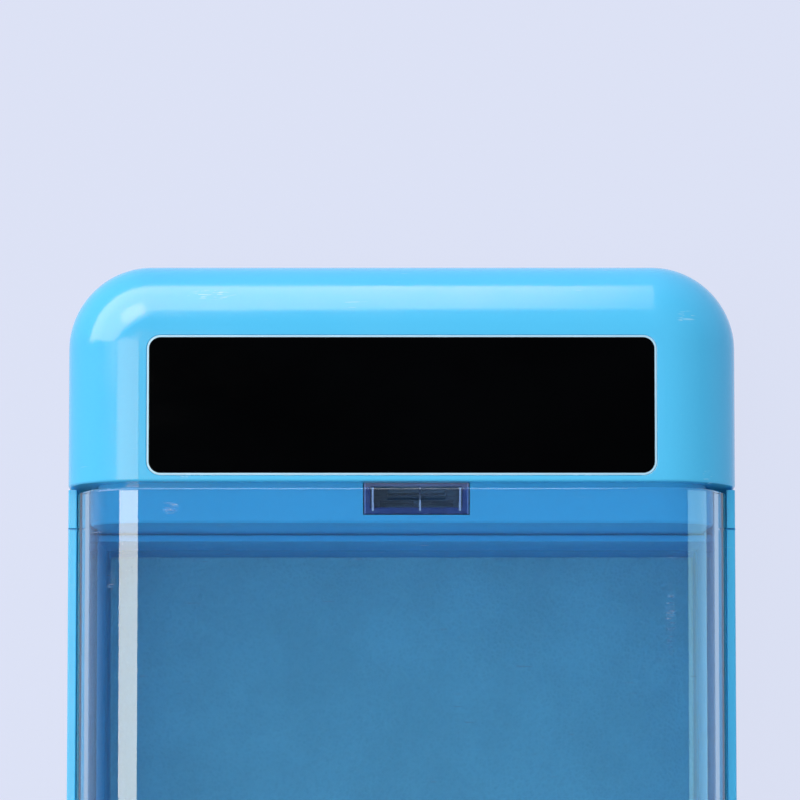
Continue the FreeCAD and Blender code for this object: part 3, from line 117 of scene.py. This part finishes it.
SKY_BLUE = linear(86, 198, 243)
WORN_BLUE = (0.72, 0.88, 0.97, 1.0)
NAVY = linear(34, 62, 132)
# Painted light: the pale colour of the pocket's plastic deep down, as if lit through the clear tab
PAINTED_LIGHT_NAVY = linear(215, 228, 255)
# Painted highlight: the lavender colour along the pocket's sides
HIGHLIGHT_NAVY = linear(150, 160, 215)
DOOR_TINT = (0.49, 0.68, 0.81, 1.0)
DOOR_SHADOW = (0.54, 0.65, 0.75, 1.0)
# Milky colour for the scratches and smears, which are real wear, and for the painted highlight lines beside
# the locking tab
DOOR_SCUFF_AND_HIGHLIGHT = (0.42, 0.50, 0.82, 1.0)
LENS_BLACK = (0.0007, 0.0008, 0.001, 1.0)
LENS_HAZE = (0.0012, 0.0014, 0.0017, 1.0)
WAVE_RADIANS = 20             # how far a Wave node turns along one unit at a scale of 1
STROKE_LENGTH = 4.0           # of the strokes on brushed metal, in millimetres
STROKE_WIDTH = 0.08


class Finish:
    """A node material: one principled shader, varied by textures in millimetres of the part's frame."""

    def __init__(self, name, metallic=0.0, ior=1.5):
        self.material = bpy.data.materials.new(name)
        self.material.use_nodes = True
        self.tree = self.material.node_tree
        self.tree.nodes.clear()
        self.out = self.node("ShaderNodeOutputMaterial")
        self.shader = self.node("ShaderNodeBsdfPrincipled")
        self.set("Metallic", metallic)
        self.set("IOR", ior)
        self.link(self.shader.outputs["BSDF"], self.out.inputs["Surface"])
        self.place = self.node("ShaderNodeTexCoord").outputs["Object"]

    def node(self, kind, **settings):
        made = self.tree.nodes.new(kind)
        for key, value in settings.items():
            setattr(made, key, value)
        return made

    def link(self, source, target):
        self.tree.links.new(source, target)

    def set(self, name, value):
        self.shader.inputs[name].default_value = value

    def along(self, axis):
        """The place along one axis, in metres."""
        split = self.node("ShaderNodeSeparateXYZ")
        self.link(self.place, split.inputs["Vector"])
        return split.outputs[axis]

    def point(self, size=(1, 1, 1), turn=0, shift=(0, 0, 0)):
        """Coordinates in units of size millimetres for each axis, turned by degrees about Z and shifted."""
        mapping = self.node("ShaderNodeMapping", vector_type="POINT")
        mapping.inputs["Scale"].default_value = [1 / (MM * s) for s in size]
        mapping.inputs["Rotation"].default_value = (0.0, 0.0, math.radians(turn))
        mapping.inputs["Location"].default_value = shift
        self.link(self.place, mapping.inputs["Vector"])
        return mapping.outputs["Vector"]

    def noise(self, size, detail=3.0, roughness=0.55, distortion=0.0, turn=0, shift=(0, 0, 0)):
        """Noise of one size in millimetres, or of one size for each axis."""
        size = (size,) * 3 if isinstance(size, (int, float)) else size
        noise = self.node("ShaderNodeTexNoise")
        noise.inputs["Scale"].default_value = 1.0
        noise.inputs["Detail"].default_value = detail
        noise.inputs["Roughness"].default_value = roughness
        noise.inputs["Distortion"].default_value = distortion
        self.link(self.point(size, turn, shift), noise.inputs["Vector"])
        return noise.outputs["Fac"]

    def cells(self, size):
        """The distance from the middles of cells, in a pattern with a unit of size millimetres."""
        cells = self.node("ShaderNodeTexVoronoi", feature="F1")
        cells.inputs["Scale"].default_value = 1.0
        self.link(self.point((size,) * 3), cells.inputs["Vector"])
        return cells.outputs["Distance"]

    def bands(self, size, axis):
        """Round threads, size millimetres apart along an axis."""
        wave = self.node("ShaderNodeTexWave", wave_type="BANDS", bands_direction=axis, wave_profile="SIN")
        wave.inputs["Scale"].default_value = 2 * math.pi / WAVE_RADIANS
        self.link(self.point((size,) * 3), wave.inputs["Vector"])
        return wave.outputs["Fac"]

    def spread(self, value, low, high, start=0.0, end=1.0):
        """value between low and high, as start to end."""
        ranged = self.node("ShaderNodeMapRange", interpolation_type="SMOOTHSTEP")
        for name, number in (("From Min", low), ("From Max", high), ("To Min", start), ("To Max", end)):
            ranged.inputs[name].default_value = number
        self.link(value, ranged.inputs["Value"])
        return ranged.outputs["Result"]

    def math(self, operation, first, second=0.0):
        """An operation on two numbers, or on the first alone."""
        made = self.node("ShaderNodeMath", operation=operation)
        feed(self.tree, first, made.inputs[0])
        feed(self.tree, second, made.inputs[1])
        return made.outputs["Value"]

    def mix(self, share, first, second):
        return mix_colours(self.tree, share, first, second)

    def vary(self, noise, colour, dark, light, low=0.3, high=0.7):
        """The colour, by factors from dark to light as the noise goes from low to high."""
        return self.mix(self.spread(noise, low, high), tone(colour, dark), tone(colour, light))

    def colour(self, source):
        self.link(source, self.shader.inputs["Base Color"])

    def roughness(self, source):
        self.link(source, self.shader.inputs["Roughness"])

    def bump(self, height, depth):
        """Relief, depth millimetres from low to high."""
        bump = self.node("ShaderNodeBump")
        bump.inputs["Strength"].default_value = 1.0
        bump.inputs["Distance"].default_value = depth * MM
        self.link(height, bump.inputs["Height"])
        self.link(bump.outputs["Normal"], self.shader.inputs["Normal"])


def patches(finish, places):
    """1 in soft oval spots, each by its middle, half width and half length in millimetres."""
    total = 0.0
    for x, y, wide, long in places:
        away = finish.node("ShaderNodeVectorMath", operation="LENGTH")
        shift = (-x / wide, -y / long, 0.0)
        finish.link(finish.point((wide, long, FLAT), shift=shift), away.inputs["Vector"])
        spot = finish.spread(away.outputs["Value"], 0.4, 1.0, 1.0, 0.0)
        total = finish.math("MAXIMUM", total, spot)
    return total


def scuffs(finish, length, width, turn, shift, least=0.74):
    """Sparse short scratches along one direction, where a noise is over its least value."""
    lines = finish.noise((length, width, length), 2.0, 0.5, turn=turn, shift=shift)
    where = finish.noise(9.0, 1.0, 0.5, shift=shift)
    return finish.math("MULTIPLY", finish.spread(lines, least, least + 0.05),
                       finish.spread(where, 0.5, 0.62))


def case_plastic(name, colour):
    """Glossy moulded plastic with a faint flow pattern, fine orange peel and light wear."""
    finish = Finish(name)
    finish.set("Specular IOR Level", 0.2)
    base = finish.vary(finish.noise((60.0, 90.0, 60.0), 2.0), colour, 0.97, 1.03)
    pellets = finish.spread(finish.noise(0.5, 2.0), 0.35, 0.65, 0.0, 0.06)
    base = finish.mix(pellets, base, tone(colour, 1.18))
    worn = finish.math("MAXIMUM", scuffs(finish, 5.0, 0.22, 24, (3, 1, 0)),
                       scuffs(finish, 4.0, 0.2, -37, (0, 8, 5)))
    rubs = finish.spread(finish.noise((1.4, 0.2, 1.4), 2.0, 0.5, distortion=0.4, turn=30), 0.54, 0.64)
    worn = finish.math("MAXIMUM", worn, finish.math("MULTIPLY", patches(finish, CASE_MARKS), rubs))
    finish.colour(finish.mix(finish.math("MULTIPLY", worn, 0.3), base, WORN_BLUE))
    smear = finish.noise((14.0, 9.0, 14.0), 4.0, 0.6)
    rough = finish.spread(smear, 0.35, 0.7, 0.13, 0.19)
    finish.roughness(finish.math("ADD", rough, finish.math("MULTIPLY", worn, 0.12)))
    finish.bump(finish.noise(1.6, 2.0, 0.4), 0.0012)
    return finish.material


def painted_tab_highlight(finish):
    """1 on the painted highlight lines beside the locking tab's sides and middle rib, below the door's face.
    """
    across = finish.math("SUBTRACT", finish.along("X"), LOCK_X)
    lines = 0.0
    for middle, half in TAB_HIGHLIGHT_LINES:
        beside = finish.math("ABSOLUTE", finish.math("SUBTRACT", across, middle))
        lines = finish.math("MAXIMUM", lines, finish.spread(beside, half, half + LINE_FADE, 1.0, 0.0))
    below = finish.spread(finish.along("Z"), LINE_WHOLE_Z, LINE_GONE_Z, 1.0, 0.0)
    at_end = finish.spread(finish.along("Y"), LINE_START_Y, LINE_WHOLE_Y)
    return finish.math("MULTIPLY", lines, finish.math("MULTIPLY", below, at_end))


def clear_plastic(name, tint, shadow):
    """Polished clear plastic with a light tint, hairline scratches, smears and painted highlight lines
    beside the locking tab. It casts a pale shadow.
    """
    finish = Finish(name, ior=1.585)
    base = finish.vary(finish.noise(35.0, 2.0), tint, 1.0, 0.985)
    worn = finish.math("MAXIMUM", scuffs(finish, 6.0, 0.16, 62, (2, 5, 1), 0.73),
                       scuffs(finish, 5.0, 0.16, -24, (7, 2, 3), 0.73))
    rubs = finish.spread(finish.noise((2.2, 0.14, 2.2), 2.0, 0.5, distortion=0.3, turn=48), 0.56, 0.64)
    worn = finish.math("MAXIMUM", worn, finish.math("MULTIPLY", patches(finish, DOOR_MARKS), rubs))
    # Scratches and smears are real wear; the lines beside the tab are painted highlight, frosted so that
    # they show pale
    scuffs_and_highlight = finish.math("MAXIMUM", finish.math("MULTIPLY", worn, 0.4), painted_tab_highlight(finish))
    finish.colour(finish.mix(scuffs_and_highlight, base, DOOR_SCUFF_AND_HIGHLIGHT))
    finish.link(finish.spread(scuffs_and_highlight, 0.0, 1.0, 1.0, 0.0), finish.shader.inputs["Transmission Weight"])
    smear = finish.noise((18.0, 26.0, 18.0), 4.0, 0.6)
    rough = finish.spread(smear, 0.45, 0.75, 0.012, 0.035)
    finish.roughness(finish.math("ADD", rough, finish.math("MULTIPLY", scuffs_and_highlight, 0.4)))
    finish.bump(finish.noise((22.0, 40.0, 22.0), 1.0), 0.02)
    path = finish.node("ShaderNodeLightPath")
    through = finish.node("ShaderNodeBsdfTransparent")
    through.inputs["Color"].default_value = shadow
    either = finish.node("ShaderNodeMixShader")
    finish.link(path.outputs["Is Shadow Ray"], either.inputs[0])
    finish.link(finish.shader.outputs["BSDF"], either.inputs[1])
    finish.link(through.outputs["BSDF"], either.inputs[2])
    finish.link(either.outputs["Shader"], finish.out.inputs["Surface"])
    return finish.material


def plain_plastic(name, colour, roughness, grain=0.35, depth=0.004, vary=0.12):
    """Moulded plastic or rubber with a spark-eroded grain."""
    finish = Finish(name)
    finish.colour(finish.vary(finish.noise(7.0), colour, 1 - vary, 1 + vary))
    finish.roughness(finish.spread(finish.noise(2.5), 0.3, 0.7, roughness * 0.9, roughness * 1.12))
    finish.bump(finish.noise(grain, 2.0), depth)
    return finish.material


def pocket_plastic(name, colour, painted_light, highlight_colour):
    """Plastic with painted light down in the pocket, where the clear tab would pipe light in, and a painted
    highlight along its sides.
    """
    finish = Finish(name)
    finish.set("Specular IOR Level", 0.2)
    # Painted light: below this band of heights the plastic is pale, as if lit through the clear tab
    height = finish.spread(finish.along("Z"), PAINTED_LIGHT_TOP, OWN_COLOUR_FROM)
    base = finish.vary(finish.noise(5.0), colour, 0.9, 1.1)
    aside = finish.math("ABSOLUTE", finish.math("SUBTRACT", finish.along("X"), LOCK_X))
    # Painted highlight: a pale rim along the pocket's sides
    highlight_rim = finish.spread(aside, HIGHLIGHT_START, HIGHLIGHT_FULL)
    finish.colour(finish.mix(height, painted_light, finish.mix(highlight_rim, base, highlight_colour)))
    finish.roughness(finish.spread(finish.noise(2.5), 0.3, 0.7, 0.2, 0.3))
    finish.bump(finish.noise(0.5, 2.0), 0.002)
    return finish.material


def foam(name, colour):
    """Closed-cell foam with a skin of fine cells."""
    finish = Finish(name, ior=1.45)
    cell = finish.cells(0.55)
    base = finish.vary(finish.noise(12.0), colour, 0.94, 1.06)
    # The darker middles of the cells are painted shade in their hollows
    finish.colour(finish.mix(finish.spread(cell, 0.0, 0.7, 0.25, 0.0), base, tone(colour, 0.72)))
    finish.roughness(finish.spread(finish.noise(1.2), 0.3, 0.7, 0.78, 0.92))
    finish.bump(cell, 0.09)
    return finish.material


def brushed(name, colour, roughness, along):
    """Metal with fine strokes that run along one axis."""
    finish = Finish(name, metallic=1.0)
    size = tuple(STROKE_LENGTH if axis == along else STROKE_WIDTH for axis in "XYZ")
    strokes = finish.noise(size, 3.0, 0.6)
    base = finish.vary(finish.noise(5.0), colour, 0.88, 1.05, low=0.35)
    finish.colour(finish.mix(finish.spread(strokes, 0.3, 0.7, 0.0, 0.35), base, tone(colour, 0.75)))
    finish.roughness(finish.spread(strokes, 0.3, 0.7, roughness * 0.8, roughness * 1.3))
    finish.bump(strokes, 0.0015)
    return finish.material


def winding(name, colour):
    """Enamelled wire, wound in turns side by side along Y."""
    finish = Finish(name, metallic=1.0)
    turns = finish.bands(0.22, "Y")
    stain = finish.noise(3.0)
    base = finish.vary(stain, colour, 0.85, 1.1, low=0.35)
    # The dark lines between the turns are painted shade in the grooves
    finish.colour(finish.mix(finish.spread(turns, 0.0, 0.45, 0.75, 0.0), base, tone(colour, 0.25)))
    finish.roughness(finish.spread(stain, 0.3, 0.7, 0.25, 0.4))
    finish.bump(turns, 0.08)
    return finish.material


def circuit_board(name, mask, trace):
    """Laminate under solder mask, with the shade of the copper below it. Sizes are in millimetres."""
    finish = Finish(name)
    paths = finish.node("ShaderNodeTexBrick", offset=0.37, squash=0.7)
    paths.offset_frequency = 3
    paths.squash_frequency = 4
    paths.inputs["Scale"].default_value = 1.0
    paths.inputs["Mortar Size"].default_value = 0.16
    paths.inputs["Mortar Smooth"].default_value = 0.1
    paths.inputs["Brick Width"].default_value = 4.2
    paths.inputs["Row Height"].default_value = 1.5
    finish.link(finish.point(), paths.inputs["Vector"])
    base = finish.vary(finish.noise(6.0), mask, 0.9, 1.1)
    finish.colour(finish.mix(paths.outputs["Fac"], base, trace))
    finish.roughness(finish.spread(finish.noise(1.5), 0.3, 0.7, 0.28, 0.42))
    finish.bump(paths.outputs["Fac"], 0.03)
    return finish.material


def crinkled(name, colour):
    """The soft foil of a battery pouch, with fine creases."""
    finish = Finish(name, metallic=1.0)
    crease = finish.noise((3.0, 5.0, 3.0), 5.0, 0.65, distortion=1.2)
    # Darker in the low parts of the creases: painted shade
    finish.colour(finish.vary(crease, colour, 0.88, 1.08, low=0.35))
    finish.roughness(finish.spread(crease, 0.3, 0.7, 0.26, 0.4))
    finish.bump(crease, 0.05)
    return finish.material


def smoked(name, black, haze):
    """The polished black front of the display, with a faint haze."""
    finish = Finish(name, ior=1.49)
    finish.set("Specular IOR Level", 0.09)
    finish.colour(finish.mix(finish.spread(finish.noise(20.0), 0.3, 0.7), black, haze))
    finish.roughness(finish.spread(finish.noise((11.0, 7.0, 11.0), 4.0, 0.6), 0.35, 0.7, 0.03, 0.07))
    return finish.material


FINISHES = {
    "case_blue": case_plastic("moulded_blue", SKY_BLUE),
    "clear_blue": clear_plastic("clear_tinted", DOOR_TINT, DOOR_SHADOW),
    "steel": brushed("bright_steel", (0.55, 0.56, 0.58, 1.0), 0.28, "X"),
    "rubber_dark": plain_plastic("foot_rubber", (0.018, 0.020, 0.024, 1.0), 0.72, 0.3, 0.01),
    "pad_foam": foam("pad_foam", linear(122, 189, 208)),
    "smoked_lens": smoked("display_front", LENS_BLACK, LENS_HAZE),
    # The pale ring round the display is a painted highlight, standing in for light caught on its edge
    "pale_trim": plain_plastic("painted_highlight_ring", linear(180, 225, 245), 0.25, 0.6, 0.001, 0.03),
    "adhesive": plain_plastic("adhesive_tape", (0.035, 0.035, 0.04, 1.0), 0.6, 0.8, 0.01),
    "black_plastic": plain_plastic("black_plastic", (0.012, 0.012, 0.014, 1.0), 0.45),
    "segment_white": plain_plastic("milky_diffuser", (0.52, 0.50, 0.46, 1.0), 0.35, 0.6, 0.002, 0.04),
    "tinned": brushed("tinned_metal", (0.60, 0.60, 0.57, 1.0), 0.32, "Y"),
    "board_green": circuit_board("solder_mask", (0.006, 0.075, 0.03, 1.0), (0.012, 0.13, 0.05, 1.0)),
    "chip_black": plain_plastic("chip_resin", (0.010, 0.010, 0.011, 1.0), 0.6, 0.12, 0.006),
    "plug_white": plain_plastic("white_nylon", (0.72, 0.70, 0.63, 1.0), 0.42, 0.6, 0.002, 0.04),
    "battery_foil": crinkled("pouch_foil", (0.58, 0.60, 0.62, 1.0)),
    "lead_red": plain_plastic("red_insulation", (0.45, 0.010, 0.008, 1.0), 0.42, 0.5, 0.003),
    "lead_black": plain_plastic("black_insulation", (0.010, 0.010, 0.011, 1.0), 0.42, 0.5, 0.003),
    "navy_plastic": pocket_plastic("navy_plastic", NAVY, PAINTED_LIGHT_NAVY, HIGHLIGHT_NAVY),
    "copper_winding": winding("enamelled_copper", (0.62, 0.24, 0.09, 1.0)),
    "magnet_plated": brushed("nickel_plate", (0.62, 0.60, 0.56, 1.0), 0.16, "Z"),
    "bolt_plastic": plain_plastic("acetal", (0.62, 0.62, 0.59, 1.0), 0.33, 0.4, 0.002, 0.05),
}

for part in frame["record"]["subparts"]:
    surface = frame["nodes"][part["node"]].data
    surface.materials.clear()
    surface.materials.append(FINISHES[part["material_slot"]])

# ---------------------------------------------------------------- floor and room

BACKGROUND = linear(221, 226, 245)
CEILING = (0.03, 0.035, 0.045, 1.0)
CEILING_RISE = 0.45                 # how steeply a direction rises where gloss sees the ceiling alone
LIT_SIDE = (0.62, 0.66, 0.72, 1.0)
DIM_SIDE = (0.34, 0.37, 0.42, 1.0)
LIT_WAY = (-0.50, 0.35, 0.79)       # towards the brightest side of the room
LIT_FROM = -0.4                     # how far a direction goes that way where the room begins to brighten
LIT_FULLY = 0.9                     # and where it is brightest
FLOOR_HALF = 3.0
FLOOR_BELOW = 0.3 * MM              # from the feet down to the floor, so that no two faces share a place
FLOOR_PLAIN = 0.95                  # the share of plain background in the floor that is seen

# Colours of the lamps. The first two show in the case's own finish and the next three in the rest, and white
# lights the matt surfaces.
WARM = (1.0, 0.60, 0.26)
AMBER = (1.0, 0.57, 0.2)
CREAM = (1.0, 1.0, 0.84)
COOL = (0.82, 0.88, 1.0)
SHADE = (0.56, 1.0, 0.94)
WHITE = (1.0, 1.0, 1.0)

# Places of the lamps, in metres. The panels and strips that only show in gloss hang a little nearer than the
# panel and the strip that light the matt surfaces.
ORIGIN = (0.0, 0.0, 0.0)
PANEL_AZIMUTH = math.radians(39)    # from the display end's way round to the left
PANEL_FACES = Vector((0.0, 0.1, 0.52))
PANEL_AWAY = 0.70
GLOSS_PANEL_AWAY = 0.68
GLOSS_PANEL_ASIDE = 0.02
STRIP_LEAN = math.radians(21.9)     # from straight overhead to the left
STRIP_AWAY = 0.874
GLOSS_STRIP_AWAY = 0.859
FILL_PLACE = (0.765, 0.0, 0.373)
FILL_TURN = math.radians(65)
CORE_PLACE = (-0.223, 0.467, 0.473)
CORE_FACES = (-0.037, 0.102, 0.034)


def ray_is(tree, first, *others):
    """1 for a ray of one of these kinds, otherwise 0."""
    path = tree.nodes.new("ShaderNodeLightPath")
    total = path.outputs[first]
    for name in others:
        larger = tree.nodes.new("ShaderNodeMath")
        larger.operation = "MAXIMUM"
        tree.links.new(total, larger.inputs[0])
        tree.links.new(path.outputs[name], larger.inputs[1])
        total = larger.outputs["Value"]
    return total


def floor_paper():
    """Matt paper that is seen as the plain background, with a trace of the part's shadow."""
    material = bpy.data.materials.new("floor_paper")
    material.use_nodes = True
    tree = material.node_tree
    tree.nodes.clear()
    out = tree.nodes.new("ShaderNodeOutputMaterial")
    paper = tree.nodes.new("ShaderNodeBsdfDiffuse")
    paper.inputs["Color"].default_value = BACKGROUND
    glow = tree.nodes.new("ShaderNodeEmission")
    glow.inputs["Color"].default_value = BACKGROUND
    share = tree.nodes.new("ShaderNodeMath")
    share.operation = "MULTIPLY"
    share.inputs[1].default_value = FLOOR_PLAIN
    seen = ray_is(tree, "Is Camera Ray", "Is Glossy Ray", "Is Transmission Ray")
    tree.links.new(seen, share.inputs[0])
    either = tree.nodes.new("ShaderNodeMixShader")
    tree.links.new(share.outputs["Value"], either.inputs[0])
    tree.links.new(paper.outputs["BSDF"], either.inputs[1])
    tree.links.new(glow.outputs["Emission"], either.inputs[2])
    tree.links.new(either.outputs["Shader"], out.inputs["Surface"])
    return material


def make_floor():
    """A wide square under the part."""
    half = FLOOR_HALF
    corners = [(-half, -half, 0), (half, -half, 0), (half, half, 0), (-half, half, 0)]
    mesh = bpy.data.meshes.new("floor")
    mesh.from_pydata(corners, [], [(0, 1, 2, 3)])
    mesh.materials.append(floor_paper())
    floor = bpy.data.objects.new("floor", mesh)
    floor.location.z = -FLOOR_BELOW
    bpy.context.scene.collection.objects.link(floor)


def soft_light(tree, direction):
    """What matt surfaces see of the room: brighter above, to the left and behind the display end."""
    towards = tree.nodes.new("ShaderNodeVectorMath")
    towards.operation = "DOT_PRODUCT"
    towards.inputs[1].default_value = LIT_WAY
    tree.links.new(direction, towards.inputs[0])
    share = tree.nodes.new("ShaderNodeMapRange")
    share.inputs["From Min"].default_value = LIT_FROM
    share.inputs["From Max"].default_value = LIT_FULLY
    tree.links.new(towards.outputs["Value"], share.inputs["Value"])
    return mix_colours(tree, share.outputs["Result"], DIM_SIDE, LIT_SIDE)


def wall(tree, direction):
    """What gloss sees of the room: the background at the horizon, darkening to the ceiling."""
    split = tree.nodes.new("ShaderNodeSeparateXYZ")
    tree.links.new(direction, split.inputs["Vector"])
    height = tree.nodes.new("ShaderNodeMapRange")
    height.interpolation_type = "SMOOTHSTEP"
    height.inputs["From Min"].default_value = 0.0
    height.inputs["From Max"].default_value = CEILING_RISE
    tree.links.new(split.outputs["Z"], height.inputs["Value"])
    return mix_colours(tree, height.outputs["Result"], BACKGROUND, CEILING)


def make_room():
    """Soft light and a wall round the part. The camera sees the plain background, also through the door."""
    world = bpy.data.worlds.new("studio")
    bpy.context.scene.world = world
    world.use_nodes = True
    tree = world.node_tree
    tree.nodes.clear()
    direction = tree.nodes.new("ShaderNodeTexCoord").outputs["Generated"]
    glossy = ray_is(tree, "Is Glossy Ray")
    lit = mix_colours(tree, glossy, soft_light(tree, direction), wall(tree, direction))
    direct = ray_is(tree, "Is Camera Ray", "Is Transmission Ray")
    seen = mix_colours(tree, direct, lit, BACKGROUND)
    sky = tree.nodes.new("ShaderNodeBackground")
    tree.links.new(seen, sky.inputs["Color"])
    out = tree.nodes.new("ShaderNodeOutputWorld")
    tree.links.new(sky.outputs["Background"], out.inputs["Surface"])


def nodes_for(name, of_case):
    """The nodes in the case's own finish, or all others, for the lamps that show in them alone."""
    group = bpy.data.collections.new(name)
    for part in frame["record"]["subparts"]:
        if (part["material_slot"] == "case_blue") == of_case:
            group.objects.link(frame["nodes"][part["node"]])
    return group


def softbox(name, place, target, size, radiance, colour=WHITE, shown_in=None):
    """A rectangular lamp that lights matt surfaces or, given nodes, shows as a panel in their gloss."""
    width, height = size
    lamp = bpy.data.lights.new(name, "AREA")
    lamp.shape = "RECTANGLE"
    lamp.size = width
    lamp.size_y = height
    lamp.energy = radiance * math.pi * width * height
    lamp.color = colour
    holder = bpy.data.objects.new(name, lamp)
    holder.location = place
    direction = Vector(target) - Vector(place)
    holder.rotation_euler = direction.to_track_quat("-Z", "Y").to_euler()
    holder.visible_camera = False
    holder.visible_transmission = False
    holder.visible_diffuse = shown_in is None
    holder.visible_glossy = shown_in is not None
    bpy.context.scene.collection.objects.link(holder)
    if shown_in is not None:
        holder.light_linking.receiver_collection = shown_in
    return holder


def lights():
    """A wide panel behind the display end, at its left, and a strip overhead light the matt surfaces.

    The other lamps only show in gloss. Two hang just in front of the panel and two in front of the strip,
    one for the case's own finish and one for the rest. The case also shows a small core, and the rest a
    panel at the right. Places and sizes are in metres.
    """
    case = nodes_for("case_nodes", True)
    others = nodes_for("other_nodes", False)

    behind = Vector((-math.sin(PANEL_AZIMUTH), math.cos(PANEL_AZIMUTH), 0.0))
    softbox("panel", PANEL_FACES + PANEL_AWAY * behind, PANEL_FACES, (1.22, 0.97), 1.32)
    aside = GLOSS_PANEL_ASIDE * Vector((behind.y, -behind.x, 0.0))
    hung = PANEL_FACES + GLOSS_PANEL_AWAY * behind + aside
    facing = PANEL_FACES + aside
    wide = (1.23, 0.94)
    softbox("panel_on_case", hung, facing, wide, 13.5, WARM, case)
    softbox("panel_on_others", hung, facing, wide, 3.5, COOL, others)
    softbox("panel_core", CORE_PLACE, CORE_FACES, (0.27, 0.27), 10.0, WARM, case)

    overhead = Vector((-math.sin(STRIP_LEAN), 0.0, math.cos(STRIP_LEAN)))
    hung = GLOSS_STRIP_AWAY * overhead
    square = (0.488, 0.49)
    strips = (
        softbox("strip", STRIP_AWAY * overhead, ORIGIN, (0.498, 0.5), 2.1),
        softbox("strip_on_case", hung, ORIGIN, square, 10.1, AMBER, case),
        softbox("strip_on_others", hung, ORIGIN, square, 9.0, CREAM, others),
    )
    # These face the part with their sides in line with the case's
    for lamp in strips:
        lamp.rotation_euler = (0.0, -STRIP_LEAN, 0.0)
    fill = softbox("fill", FILL_PLACE, ORIGIN, (0.6, 0.8), 3.3, SHADE, others)
    fill.rotation_euler = (0.0, FILL_TURN, 0.0)


def make_camera():
    """From above the case, tipped a little towards the display end."""
    data = bpy.data.cameras.new("camera")
    data.sensor_width = 36.0
    data.lens = 298.2
    data.clip_start = 0.01
    data.clip_end = 10.0
    camera = bpy.data.objects.new("camera", data)
    camera.location = (-0.24 * MM, -14.71 * MM, 935.0 * MM)
    camera.rotation_euler = (math.radians(6.603), 0.0, 0.0)
    bpy.context.scene.collection.objects.link(camera)
    bpy.context.scene.camera = camera


make_floor()
make_room()
lights()
make_camera()
bpy.context.scene.view_settings.view_transform = "Standard"
